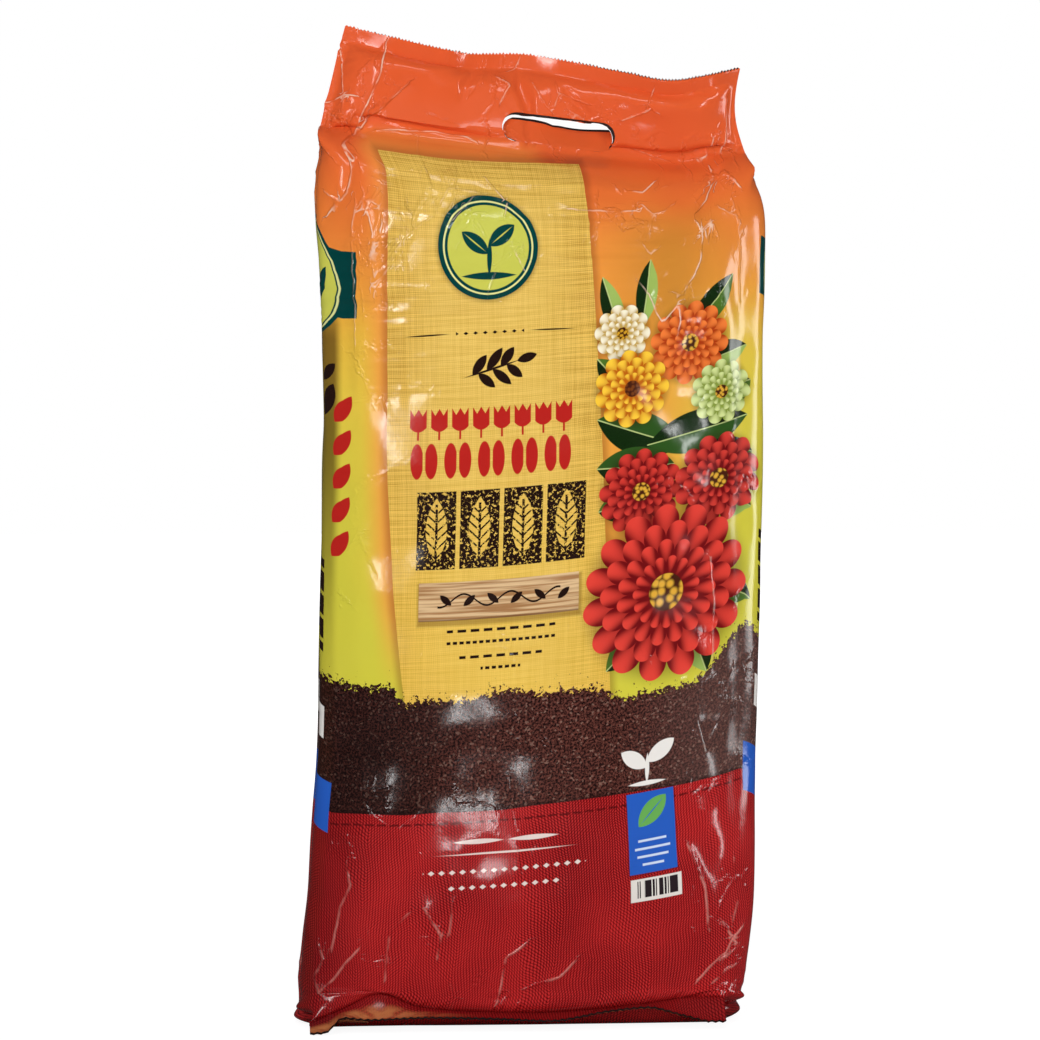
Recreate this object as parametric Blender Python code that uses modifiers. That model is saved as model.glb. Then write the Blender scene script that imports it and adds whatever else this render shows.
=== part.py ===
"""A side-gusset compost bag of about 18 litres, filled, sealed and standing on its base.

The bag is one tube of printed film: a front and a back panel, with a gusset folded in at each
side. It is welded shut along the bottom and across a flat header at the top. The header has a
punched hand slot whose tongue is pushed back. Nothing of the fill shows, so the bag is one closed
solid. Front is -Y, up is +Z, and the origin lies in the middle of the base.
"""

import bmesh
import bpy
import numpy as np
from mathutils import Matrix

# The filled body: widths and depths are measured between the creases where the gussets start
OVERALL_HEIGHT = 0.690
FOLD_HEIGHT = 0.600
BELLY_WIDTH = 0.278
BELLY_DEPTH = 0.064
PANEL_BULGE = 0.031
GUSSET_HALF_WIDTH = 0.040
PANEL_CURVE = 2.6

# How a gusset opens, as shares of its half width: where its groove starts to show, where it lies
# open, and how deep the groove gets. PUFF_LIMIT keeps the film on either side off the middle.
GROOVE_START = 0.4
GUSSET_OPEN = 0.8
GROOVE_FADE = 0.35
GROOVE_DEPTH = 0.7
PUFF_LIMIT = 0.9

# Shares of those sizes at levels between the floor and the fold under the header. Each row holds
# the level, the width, the depth and the bulge, then the sideways shift in metres.
BODY_PROFILE = (
    (0.0000, 0.928, 0.938, 0.060, -0.0150),
    (0.0025, 0.978, 1.040, 0.100, -0.0150),
    (0.0070, 1.008, 1.090, 0.150, -0.0150),
    (0.0170, 1.025, 1.120, 0.240, -0.0148),
    (0.0500, 1.043, 1.094, 0.400, -0.0145),
    (0.1000, 1.043, 1.062, 0.650, -0.0110),
    (0.1667, 1.036, 1.062, 0.870, -0.0070),
    (0.3333, 1.011, 1.031, 0.970, -0.0030),
    (0.5000, 1.000, 1.000, 1.000, -0.0005),
    (0.6667, 1.000, 0.969, 1.000, 0.0010),
    (0.7833, 1.000, 0.938, 1.000, 0.0015),
    (0.8667, 1.011, 0.906, 0.970, 0.0012),
    (0.9167, 1.029, 0.860, 0.900, 0.0002),
    (0.9583, 1.047, 0.719, 0.680, -0.0030),
    (0.9833, 1.056, 0.469, 0.400, -0.0050),
)

# The flat header: thickness, width at its top edge, and the shift of that edge to the left
HEADER_THICKNESS = 0.0016
HEADER_WIDTH = 0.291
HEADER_TOP_WIDTH = 0.270
HEADER_SHIFT = -0.0050
HEADER_TOP_SHIFT = 0.0008

# The fold under the header, from left to right: place across, as a share of the half width, and
# height over FOLD_HEIGHT. The fold droops to the right, and so do the shoulders below it.
FOLD_LINE = ((-1.0, 0.0203), (-0.70, 0.0115), (-0.40, 0.0050), (0.0, -0.0005), (0.45, -0.0055),
             (0.70, -0.0075), (0.85, -0.0030), (1.0, -0.0004))

# The top edge: place across, drop below OVERALL_HEIGHT, and how far it leans in Y
TOP_EDGE = ((-1.0, 0.0000, 0.006), (-0.60, 0.0120, -0.010), (-0.35, 0.0195, 0.003),
            (-0.14, 0.0215, 0.008), (0.10, 0.0270, -0.004), (0.40, 0.0355, -0.022),
            (0.64, 0.0405, -0.030), (0.84, 0.0365, -0.026), (1.0, 0.0312, -0.012))
LEAN_POWER = 1.25
SHOULDER_HEIGHT = 0.110

# The hand slot, punched through the header, and its tongue
SLOT_WIDTH = 0.078
SLOT_HEIGHT = 0.020
SLOT_ABOVE_FOLD = 0.007
SLOT_OFFSET_X = 0.011
SLOT_TURN = 7.0
CUTTER_REACH = 0.030
TONGUE_THICKNESS = 0.0010
TONGUE_CLEARANCE = 0.0012
TONGUE_ANGLE = 60.0
TONGUE_ROOT = 0.0025
TONGUE_ROOT_INSET = 0.008

# The bottom weld, a fin that leaves the bag just above the floor and lies forward
FIN_WIDTH = 0.286
FIN_SHIFT = -0.0175
FIN_THICKNESS = 0.0012
FIN_ROOT_HEIGHT = 0.0085
FIN_LENGTH = 0.015
FIN_SINK = 0.012
FIN_TIP_HEIGHT = 0.0020

# Fineness of the lofted surface
PANEL_STEPS = 24
GUSSET_STEPS = 4
BASE_RINGS = 5
BELLY_RINGS = 25
SHOULDER_RINGS = 14
HEADER_RINGS = 8
SHEET_COLUMNS = 24
TONGUE_ROWS = 8
SLOT_ARC_POINTS = 13
SMOOTH_ANGLE = 40.0

FILM_COLOUR = (0.62, 0.10, 0.02, 1.0)
FILM_ROUGHNESS = 0.28


def smooth_step(value):
    """Goes from 0 to 1 with flat ends."""
    value = np.clip(value, 0.0, 1.0)
    return value * value * (3.0 - 2.0 * value)


def smooth_line(at, stations, values):
    """A curve through the stations that never overshoots them: cubic pieces with limited slopes."""
    stations, values = np.asarray(stations), np.asarray(values)
    step = np.diff(stations)
    rise = np.diff(values) / step
    slope = np.zeros_like(values)
    turns = rise[:-1] * rise[1:] > 0.0
    slope[1:-1][turns] = (2.0 * rise[:-1] * rise[1:])[turns] / (rise[:-1] + rise[1:])[turns]
    slope[0], slope[-1] = rise[0], rise[-1]
    at = np.clip(at, stations[0], stations[-1])
    piece = np.clip(np.searchsorted(stations, at, side="right") - 1, 0, len(step) - 1)
    share = (at - stations[piece]) / step[piece]
    rest = 1.0 - share
    ends = values[piece] * (1.0 + 2.0 * share) * rest**2 + values[piece + 1] * share**2 * (1.0 + 2.0 * rest)
    bends = step[piece] * (slope[piece] * share * rest**2 - slope[piece + 1] * share**2 * rest)
    return ends + bends


def film_material():
    material = bpy.data.materials.new("printed_film")
    material.use_nodes = True
    shader = material.node_tree.nodes["Principled BSDF"]
    shader.inputs["Base Color"].default_value = FILM_COLOUR
    shader.inputs["Roughness"].default_value = FILM_ROUGHNESS
    shader.inputs["Metallic"].default_value = 0.0
    return material


def collection(name):
    made = bpy.data.collections.new(name)
    bpy.context.scene.collection.children.link(made)
    return made


def mesh_object(name, mesh, home):
    made = bpy.data.objects.new(name, mesh)
    home.objects.link(made)
    return made


def body_sizes(level):
    """Half width, half depth, bulge and shift of the section at a level, from 0 to 1."""
    levels, widths, depths, bulges, shifts = np.array(BODY_PROFILE).T
    levels = np.append(levels, 1.0)
    half_film = 0.5 * HEADER_THICKNESS
    half_widths = np.append(0.5 * BELLY_WIDTH * widths, 0.5 * HEADER_WIDTH)
    half_depths = np.append(0.5 * BELLY_DEPTH * depths, half_film)
    bulges = np.append(PANEL_BULGE * bulges, 0.0)
    shifts = np.append(shifts, HEADER_SHIFT)
    return [smooth_line(level, levels, row) for row in (half_widths, half_depths, bulges, shifts)]


def gusset_curve(half_depth):
    """Depth of the groove in a gusset, and the puff of the film on either side of it.

    The film keeps its width: the less the folds have opened, the deeper the gusset stays tucked in,
    and what its chord leaves over puffs out.
    """
    opened = half_depth / (GUSSET_OPEN * GUSSET_HALF_WIDTH)
    straight = np.sqrt(max(GUSSET_HALF_WIDTH**2 - half_depth**2, 0.0))
    started = smooth_step((half_depth - 0.5 * HEADER_THICKNESS) / (GROOVE_START * GUSSET_HALF_WIDTH))
    ended = smooth_step((opened - GROOVE_FADE) / (1.0 - GROOVE_FADE))
    groove = GROOVE_DEPTH * straight * started * (1.0 - ended)
    chord = np.hypot(half_depth, groove)
    excess = max(GUSSET_HALF_WIDTH / chord - 1.0, 0.0)
    shallow_arc_rise = chord * np.sqrt(3.0 / 8.0 * excess)
    return groove, min(shallow_arc_rise, PUFF_LIMIT * half_depth)


def section(level):
    """One ring of the loft at a level of the body: front panel, gusset, back panel, gusset."""
    half_width, half_depth, bulge, shift = body_sizes(level)
    across = np.linspace(-1.0, 1.0, PANEL_STEPS + 1)[:-1]
    panel = bulge * (1.0 - np.abs(across) ** PANEL_CURVE)
    groove, puff = gusset_curve(half_depth)
    along = np.linspace(-1.0, 1.0, 2 * GUSSET_STEPS + 1)[:-1]
    inward = groove * (1.0 - np.abs(along))
    outward = puff * 4.0 * np.abs(along) * (1.0 - np.abs(along))
    side_x = half_width - inward + outward
    front = np.stack([half_width * across, -half_depth - panel], axis=1)
    right = np.stack([side_x, half_depth * along], axis=1)
    back = -front
    left = -right
    ring = np.concatenate([front, right, back, left])
    return ring[:, 0] + shift, ring[:, 1]


def across_header(x):
    """Place across the header, from -1 at its left end to 1 at its right end."""
    return np.clip((x - HEADER_SHIFT) / (0.5 * HEADER_WIDTH), -1.0, 1.0)


def fold_height(x):
    share, rise = np.array(FOLD_LINE).T
    return FOLD_HEIGHT + smooth_line(across_header(x), share, rise)


def top_edge(x):
    """Height and lean of the top edge straight above a point of the fold."""
    share, drop, lean = np.array(TOP_EDGE).T
    place = across_header(x)
    return OVERALL_HEIGHT - smooth_line(place, share, drop), smooth_line(place, share, lean)


def body_ring(level):
    """Points of a ring of the body. Near the header the ring follows the drooping fold."""
    x, y = section(level)
    droop = smooth_step((level * FOLD_HEIGHT - (FOLD_HEIGHT - SHOULDER_HEIGHT)) / SHOULDER_HEIGHT)
    z = level * FOLD_HEIGHT + droop * (fold_height(x) - FOLD_HEIGHT)
    return np.stack([x, y, z], axis=1)


def header_point(x, y, share):
    """A point of the header, from its place in the flat fold section and its share of the way up."""
    edge_height, edge_lean = top_edge(x)
    top_x = HEADER_TOP_SHIFT + (x - HEADER_SHIFT) * HEADER_TOP_WIDTH / HEADER_WIDTH
    low = fold_height(x)
    return np.stack([x + share * (top_x - x), y + share**LEAN_POWER * edge_lean,
                     low + share * (edge_height - low)], axis=-1)


def body_levels():
    """Levels of the rings: close together round the base and the shoulders."""
    base = np.array([row[0] for row in BODY_PROFILE[:BASE_RINGS]])
    belly = np.linspace(base[-1], 1.0 - SHOULDER_HEIGHT / FOLD_HEIGHT, BELLY_RINGS + 1)[1:]
    shoulder = np.linspace(belly[-1], 1.0, SHOULDER_RINGS + 1)[1:]
    return np.concatenate([base, belly, shoulder])


def lofted_bag():
    """The filled bag with its header, as one skin over all the sections, closed at both ends."""
    rings = [body_ring(level) for level in body_levels()]
    flat_x, flat_y = section(1.0)
    shares = np.linspace(0.0, 1.0, HEADER_RINGS + 1)[1:]
    rings += [header_point(flat_x, flat_y, share) for share in shares]
    count = len(flat_x)
    points = np.concatenate(rings)
    start = np.arange(count)
    beside = (start + 1) % count
    faces = []
    for level in range(len(rings) - 1):
        low, high = level * count, (level + 1) * count
        faces += np.stack([low + start, low + beside, high + beside, high + start], axis=1).tolist()
    faces.append(start[::-1].tolist())
    faces.append(((len(rings) - 1) * count + start).tolist())
    mesh = bpy.data.meshes.new("compost_bag")
    mesh.from_pydata(points.tolist(), [], faces)
    mesh.validate()
    return mesh


def sheet(name, rows, thickness, home):
    """A film sheet through a grid of points, given its thickness evenly on both sides."""
    grid = np.array(rows)
    count, columns = grid.shape[:2]
    index = np.arange(count * columns).reshape(count, columns)
    corners = [index[:-1, :-1], index[:-1, 1:], index[1:, 1:], index[1:, :-1]]
    faces = np.stack(corners, axis=2).reshape(-1, 4)
    mesh = bpy.data.meshes.new(name)
    mesh.from_pydata(grid.reshape(-1, 3).tolist(), [], faces.tolist())
    made = mesh_object(name, mesh, home)
    solid = made.modifiers.new("thickness", "SOLIDIFY")
    solid.thickness = thickness
    solid.offset = 0.0
    solid.use_even_offset = True
    made.hide_render = True
    made.display_type = "WIRE"
    return made


def slot_frame():
    """Middle of the hand slot in X and Z, and its turn, in line with the header."""
    low = fold_height(np.array([SLOT_OFFSET_X]))[0] + SLOT_ABOVE_FOLD
    return SLOT_OFFSET_X, low + 0.5 * SLOT_HEIGHT, -np.radians(SLOT_TURN)


def slot_cutter(home):
    """A flat bar with round ends, longer than the header is thick and its lean is deep."""
    x, z, turn = slot_frame()
    radius = 0.5 * SLOT_HEIGHT
    reach = 0.5 * SLOT_WIDTH - radius
    mesh = bmesh.new()
    arc = np.linspace(-0.5 * np.pi, 0.5 * np.pi, SLOT_ARC_POINTS)
    outline = [(reach + radius * np.cos(a), radius * np.sin(a)) for a in arc]
    outline += [(-u, -w) for u, w in outline]
    near = [mesh.verts.new((u, -CUTTER_REACH, w)) for u, w in outline]
    mesh.faces.new(near)
    made = bmesh.ops.extrude_face_region(mesh, geom=list(mesh.faces))
    moved = [v for v in made["geom"] if isinstance(v, bmesh.types.BMVert)]
    bmesh.ops.translate(mesh, verts=moved, vec=(0.0, 2.0 * CUTTER_REACH, 0.0))
    bmesh.ops.recalc_face_normals(mesh, faces=list(mesh.faces))
    data = bpy.data.meshes.new("slot_cutter")
    mesh.to_mesh(data)
    mesh.free()
    cutter = mesh_object("slot_cutter", data, home)
    cutter.matrix_world = Matrix.Translation((x, 0.0, z)) @ Matrix.Rotation(-turn, 4, "Y")
    cutter.hide_render = True
    cutter.display_type = "WIRE"
    return cutter


def header_middle(x, z):
    """Where the middle of the header lies in Y at a point over the fold."""
    edge_height, edge_lean = top_edge(x)
    low = fold_height(x)
    return np.clip((z - low) / (edge_height - low), 0.0, 1.0) ** LEAN_POWER * edge_lean


def tongue(home):
    """The punched tongue: joined to the lower edge of the slot, and pushed back out of it."""
    x, z, turn = slot_frame()
    half_height = 0.5 * SLOT_HEIGHT
    half_width = 0.5 * SLOT_WIDTH - TONGUE_CLEARANCE
    lean = np.radians(TONGUE_ANGLE)
    reaches = np.linspace(0.0, SLOT_HEIGHT - TONGUE_CLEARANCE, TONGUE_ROWS)
    rows = []
    for reach in np.append(-TONGUE_ROOT, reaches):
        off_middle = np.clip((reach - half_height) / half_height, -1.0, 1.0)
        inset = half_height * (1.0 - np.sqrt(1.0 - off_middle**2))
        inset = TONGUE_ROOT_INSET if reach < 0.0 else inset
        span = np.linspace(inset - half_width, half_width - inset, SHEET_COLUMNS)
        out = max(reach, 0.0)
        up = min(reach, 0.0) + out * np.cos(lean) - half_height
        at_x = x + span * np.cos(turn) - up * np.sin(turn)
        at_z = z + span * np.sin(turn) + up * np.cos(turn)
        root_z = z + span * np.sin(turn) - half_height * np.cos(turn)
        rows.append(np.stack([at_x, header_middle(at_x, root_z) + out * np.sin(lean), at_z], axis=1))
    return sheet("tongue_sheet", rows, TONGUE_THICKNESS, home)


def fin(home):
    """The bottom weld: it starts inside the bag, leaves it at the front and sinks towards the floor."""
    front = 0.5 * BELLY_DEPTH * BODY_PROFILE[2][2]
    path = (
        (front - FIN_SINK, FIN_ROOT_HEIGHT),
        (front, FIN_ROOT_HEIGHT),
        (front + 0.5 * FIN_LENGTH, 0.5 * (FIN_ROOT_HEIGHT + FIN_TIP_HEIGHT) + FIN_THICKNESS),
        (front + FIN_LENGTH, FIN_TIP_HEIGHT),
    )
    span = FIN_SHIFT + np.linspace(-0.5 * FIN_WIDTH, 0.5 * FIN_WIDTH, SHEET_COLUMNS)
    rows = [np.stack([span, np.full_like(span, -y), np.full_like(span, z)], axis=1) for y, z in path]
    return sheet("fin_sheet", rows, FIN_THICKNESS, home)


def boolean(body, other, operation):
    step = body.modifiers.new(other.name, "BOOLEAN")
    step.operation = operation
    step.solver = "EXACT"
    step.object = other


def build():
    for old in list(bpy.data.objects):
        bpy.data.objects.remove(old, do_unlink=True)
    parts = collection("compost_bag")
    helpers = collection("helpers")
    bag = mesh_object("compost_bag", lofted_bag(), parts)
    bag.data.materials.append(film_material())
    boolean(bag, slot_cutter(helpers), "DIFFERENCE")
    boolean(bag, tongue(helpers), "UNION")
    boolean(bag, fin(helpers), "UNION")
    bag.data.shade_smooth()
    bag.data.set_sharp_from_angle(angle=np.radians(SMOOTH_ANGLE))


build()
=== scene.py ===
"""The looks of a filled and sealed compost bag: a side-gusset tube of printed film on its own base.

The film is worked out as one grid of points, round the tube and up it. Its print is laid out on the
film's own coordinates: u is the place round the tube from the middle of the front, and t the place
up it, both in metres.
"""

import bpy
import numpy as np
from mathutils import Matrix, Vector


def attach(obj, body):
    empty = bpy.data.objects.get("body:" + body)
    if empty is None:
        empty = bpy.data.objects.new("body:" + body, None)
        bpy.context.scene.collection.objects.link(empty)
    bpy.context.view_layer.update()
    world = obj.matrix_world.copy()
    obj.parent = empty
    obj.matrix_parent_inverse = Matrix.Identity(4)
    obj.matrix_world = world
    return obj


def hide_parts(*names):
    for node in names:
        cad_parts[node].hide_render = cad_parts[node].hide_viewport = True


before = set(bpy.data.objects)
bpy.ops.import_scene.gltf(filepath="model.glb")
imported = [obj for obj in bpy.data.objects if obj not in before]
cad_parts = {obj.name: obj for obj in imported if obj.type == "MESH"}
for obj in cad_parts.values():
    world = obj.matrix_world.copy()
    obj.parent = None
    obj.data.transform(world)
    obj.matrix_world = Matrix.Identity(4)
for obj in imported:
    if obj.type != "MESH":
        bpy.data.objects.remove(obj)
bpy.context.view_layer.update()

# The film tube
# A blown tube of glossy polyethylene: a front and a back panel with a gusset folded in at each side.
# Here it gets the shape that the fill gives it: flat in the header, full in the belly, and closed
# by a weld that starts at the front of the base. Lengths are in metres, on a grid of square cells.
PANEL_WIDTH = 0.290
GUSSET_HALF = 0.040
CELL = 0.0025
PANEL_CELLS = round(PANEL_WIDTH / CELL)
HALF_CELLS = round(GUSSET_HALF / CELL)
COLUMNS = 2 * PANEL_CELLS + 4 * HALF_CELLS
FIN_ROWS, BASE_ROWS, BODY_ROWS, HEADER_ROWS = 8, 24, 220, 32
FIRST_BODY_ROW = FIN_ROWS + BASE_ROWS
FOLD_ROW = FIRST_BODY_ROW + BODY_ROWS
ROWS = FOLD_ROW + HEADER_ROWS
BASE_TOP, FOLD_HEIGHT = 0.030, 0.600
HEADER_LENGTH = 0.070

# Sections of the body: height, half width and half depth at the creases where the gussets start,
# bulge of the panels, and sideways shift
BODY = np.array([
    (0.030, 0.1418, 0.0340, 0.012, -0.0145),
    (0.060, 0.1424, 0.0340, 0.020, -0.0110),
    (0.100, 0.1412, 0.0340, 0.027, -0.0070),
    (0.200, 0.1382, 0.0320, 0.030, -0.0035),
    (0.300, 0.1369, 0.0305, 0.031, -0.0012),
    (0.400, 0.1368, 0.0300, 0.031, 0.0008),
    (0.470, 0.1368, 0.0290, 0.031, 0.0009),
    (0.520, 0.1372, 0.0285, 0.030, 0.0006),
    (0.550, 0.1387, 0.0275, 0.028, 0.0002),
    (0.575, 0.1418, 0.0230, 0.021, -0.0014),
    (0.590, 0.1487, 0.0150, 0.013, -0.0035),
    (0.600, 0.1464, 0.0020, 0.005, -0.0048),
]).T
PANEL_CURVE = 2.6
GUSSET_OPEN, GROOVE_FADE = 0.78, 0.35

# The weld under the bag, where the fin starts, and how the back panel runs from it along the floor:
# share of the way, place in Y and height
WELD_Y, WELD_Z = -0.040, 0.0095
WELD_HALF_WIDTH, WELD_SHIFT = 0.1425, -0.0190
FIN_REACH = 0.015
WELD_LINE = np.array([(-1.0, 0.0060), (-0.82, 0.0170), (-0.66, 0.0270), (-0.48, 0.0170), (-0.20, 0.0130),
                      (0.10, 0.0120), (0.40, 0.0140), (0.65, 0.0180), (0.85, 0.0215), (1.0, 0.0215)]).T
FIN_EDGE = np.array([(-1.0, 0.0005), (-0.93, 0.0012), (-0.84, 0.0110), (-0.72, 0.0095), (-0.45, 0.0105),
                     (-0.10, 0.0092), (0.15, 0.0075), (0.45, 0.0140), (0.62, 0.0160), (0.80, 0.0100),
                     (0.93, 0.0060), (1.0, 0.0060)]).T
FLOOR_RUN = np.array([
    (0.00, WELD_Y, WELD_Z),
    (0.05, -0.034, 0.0055),
    (0.12, -0.027, 0.0040),
    (0.30, -0.010, 0.0010),
    (0.70, 0.026, 0.0003),
    (0.82, 0.0335, 0.004),
    (0.91, 0.0355, 0.0155),
    (1.00, 0.034, BASE_TOP),
]).T
BASE_BULGE = 0.012

# The fold under the header: place across and height. The header's top edge: place across, height and
# lean. Both droop to the right, and SHEET_GAP keeps the header's four layers apart.
FOLD_LINE = np.array([(-1.0, 0.6203), (-0.70, 0.6115), (-0.40, 0.6050), (0.0, 0.5995), (0.45, 0.5945),
                      (0.70, 0.5925), (0.85, 0.5970), (1.0, 0.5996)]).T
TOP_EDGE = np.array([
    (-1.0, 0.6880, 0.006), (-0.70, 0.6775, -0.008), (-0.50, 0.6715, -0.006), (-0.35, 0.6685, 0.003),
    (-0.14, 0.6690, 0.008), (0.10, 0.6640, -0.004), (0.40, 0.6555, -0.022), (0.64, 0.6495, -0.030),
    (0.84, 0.6535, -0.026), (1.0, 0.6588, -0.012),
]).T
FOLD_SHIFT, TOP_SHIFT, TOP_HALF_WIDTH = -0.0050, 0.0008, 0.1350
HEADER_WAIST, HEADER_SKEW = 0.0028, 0.0026
SHEET_GAP = 0.00065
SHOULDER = 0.110


def ease(value):
    """Goes from 0 to 1 with flat ends: 3 v squared minus 2 v cubed."""
    value = np.clip(value, 0.0, 1.0)
    return value * value * (3.0 - 2.0 * value)


def through(at, stations, values):
    """A curve through the stations that never overshoots: cubic pieces with harmonic-mean slopes."""
    step = np.diff(stations)
    rise = np.diff(values) / step
    slope = np.zeros_like(values)
    turns = rise[:-1] * rise[1:] > 0.0
    slope[1:-1][turns] = (2.0 * rise[:-1] * rise[1:])[turns] / (rise[:-1] + rise[1:])[turns]
    slope[0], slope[-1] = rise[0], rise[-1]
    at = np.clip(at, stations[0], stations[-1])
    piece = np.clip(np.searchsorted(stations, at, side="right") - 1, 0, len(step) - 1)
    share = (at - stations[piece]) / step[piece]
    rest = 1.0 - share
    ends = values[piece] * (1.0 + 2.0 * share) * rest**2 + values[piece + 1] * share**2 * (1.0 + 2.0 * rest)
    return ends + step[piece] * (slope[piece] * share * rest**2 - slope[piece + 1] * share**2 * rest)


def filled_tube(rows, columns):
    """Places of grid points (rows and columns may be fractions), and their film coordinates.

    Round the tube a panel is its half width times the place across, bulged by one minus that place
    to the power PANEL_CURVE. A gusset is two chords between the creases, each puffed out by a
    parabola that makes up the film's width. The header is the flat fold section, carried from the
    fold line to the top edge.
    """
    row = np.asarray(rows, float)[:, None]
    column = np.asarray(columns, float)[None, :] % COLUMNS
    height = BASE_TOP + (FOLD_HEIGHT - BASE_TOP) * (row - FIRST_BODY_ROW) / BODY_ROWS
    up_header = np.clip((row - FOLD_ROW) / HEADER_ROWS, 0.0, 1.0)
    along_floor = np.clip((row - FIN_ROWS) / BASE_ROWS, 0.0, 1.0)
    down_fin = np.clip((FIN_ROWS - row) / FIN_ROWS, 0.0, 1.0)
    half_width, half_depth, bulge, shift = [through(height, BODY[0], line) for line in BODY[1:]]
    half_width = half_width + (WELD_HALF_WIDTH - half_width) * (1.0 - along_floor) ** 3
    shift = shift + (WELD_SHIFT - shift) * ease(1.0 - along_floor)
    # Round the tube: front panel, right gusset, back panel, left gusset
    right, back, left = PANEL_CELLS, PANEL_CELLS + 2 * HALF_CELLS, 2 * PANEL_CELLS + 2 * HALF_CELLS
    is_front, is_back = column <= right, (column >= back) & (column <= left)
    is_gusset = ~(is_front | is_back)
    across = np.where(is_front, 2.0 * column / PANEL_CELLS - 1.0, 1.0 - 2.0 * (column - back) / PANEL_CELLS)
    side = np.where(column < back, 1.0, -1.0)
    weld_z = through(np.where(is_gusset, side, across), *WELD_LINE)
    # Creases of the front and the back, and the bulge of each panel
    low = along_floor < 1.0
    front_y = np.where(low, WELD_Y + (-half_depth - WELD_Y) * ease(along_floor), -half_depth)
    back_y = np.where(low, through(along_floor, FLOOR_RUN[0], FLOOR_RUN[1]), half_depth)
    front_z = np.where(low, weld_z + (BASE_TOP - weld_z) * along_floor, height)
    back_z = np.where(low, through(along_floor, FLOOR_RUN[0], FLOOR_RUN[2]), height)
    back_z = back_z + (weld_z - WELD_Z) * ease(1.0 - along_floor / 0.14)
    front_bulge = np.where(low, BODY[3, 0] * np.sin(0.5 * np.pi * along_floor), bulge)
    back_bulge = np.where(low, BASE_BULGE * ease((along_floor - 0.7) / 0.3), bulge)
    # The header closes up just over the fold, and the fin is closed all the way
    shut = 1.0 - np.exp(-up_header * HEADER_LENGTH / 0.010)
    in_header = up_header > 0.0
    front_y = np.where(in_header, front_y + (-SHEET_GAP - front_y) * shut, front_y)
    back_y = np.where(in_header, back_y + (SHEET_GAP - back_y) * shut, back_y)
    front_bulge = np.where(in_header, front_bulge * (1.0 - shut), front_bulge)
    back_bulge = np.where(in_header, back_bulge * (1.0 - shut), back_bulge)
    in_fin = down_fin > 0.0
    fin_y = WELD_Y - FIN_REACH * down_fin
    front_y, back_y = np.where(in_fin, fin_y - 0.0004, front_y), np.where(in_fin, fin_y + 0.0004, back_y)
    hump = 1.0 - np.abs(np.clip(across, -1.0, 1.0)) ** PANEL_CURVE
    x = half_width * across
    y = np.where(is_front, front_y - front_bulge * hump, back_y + back_bulge * hump)
    z = np.where(is_front, front_z, back_z) + 0.0 * column
    # A gusset: 0 at its front crease, 1 at its middle, 2 at its back crease
    place = np.where(column < back, column - right, COLUMNS - column) / HALF_CELLS
    half_open = 0.5 * np.hypot(back_y - front_y, back_z - front_z)
    opened = np.clip(half_open / (GUSSET_OPEN * GUSSET_HALF), 0.0, 1.0)
    tuck = np.sqrt(np.clip(GUSSET_HALF**2 - half_open**2, 0.0, None))
    tuck = tuck * (1.0 - 0.97 * ease((opened - GROOVE_FADE) / (1.0 - GROOVE_FADE)))
    chord = np.hypot(half_open, tuck) + 1e-9
    puff = chord * np.sqrt(np.clip(3.0 / 8.0 * (GUSSET_HALF / chord - 1.0), 0.0, None))
    puff = np.minimum(1.15 * puff, 1.4 * half_open)
    inner = 1.0 - np.abs(place - 1.0)
    swell = 4.0 * inner * (1.0 - inner)
    gusset_x = side * (half_width - tuck * inner + puff * swell * half_open / chord)
    turned = np.where(place <= 1.0, 1.0, -1.0) * np.sign(back_y - front_y)
    gusset_y = front_y + 0.5 * place * (back_y - front_y) + 0.6 * turned * puff * swell * tuck / chord
    lift = np.where(low & ~in_fin, 0.004 * np.sin(0.5 * np.pi * place) * (1.0 - along_floor), 0.0)
    gusset_z = front_z + 0.5 * place * (back_z - front_z) + lift
    flat = np.clip(np.where(is_gusset, gusset_x, x) / half_width, -1.0, 1.0)
    fin_z = weld_z + (through(flat, *FIN_EDGE) - weld_z) * ease(down_fin) + 0.0012 * is_front
    x = np.where(is_gusset, gusset_x, x) + shift
    y = np.where(is_gusset, gusset_y, y)
    z = np.where(in_fin, fin_z, np.where(is_gusset, gusset_z, z))
    # The droop of the fold line and of the shoulders, and the header over it
    flat = np.clip((x - FOLD_SHIFT) / half_width, -1.0, 1.0)
    fold_z = through(flat, *FOLD_LINE)
    near = ease((np.clip(height, BASE_TOP, FOLD_HEIGHT) - FOLD_HEIGHT + SHOULDER) / SHOULDER)
    edge_z, edge_y = through(flat, TOP_EDGE[0], TOP_EDGE[1]), through(flat, TOP_EDGE[0], TOP_EDGE[2])
    z = np.where(in_header, fold_z + up_header * (edge_z - fold_z), z + near * (fold_z - FOLD_HEIGHT))
    x = x + up_header * (TOP_SHIFT + TOP_HALF_WIDTH * flat - x)
    x = x - (HEADER_WAIST + HEADER_SKEW * flat) * np.abs(flat) ** 3 * np.sin(np.pi * up_header)
    y = y + up_header**1.25 * edge_y + 0.004 * near * np.sin(2.0 * np.pi * (x - 0.03) / 0.19)
    film_u = column * CELL - 0.5 * PANEL_WIDTH + 0.0 * x
    film_t = np.where(in_header, FOLD_HEIGHT + up_header * HEADER_LENGTH, np.where(is_back, back_z, front_z))
    film_t = np.where(in_fin, weld_z - down_fin * FIN_ROWS * CELL, film_t) + 0.0 * x
    return np.stack([x, y, z], axis=2), np.stack([film_u, film_t], axis=2)


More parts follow.
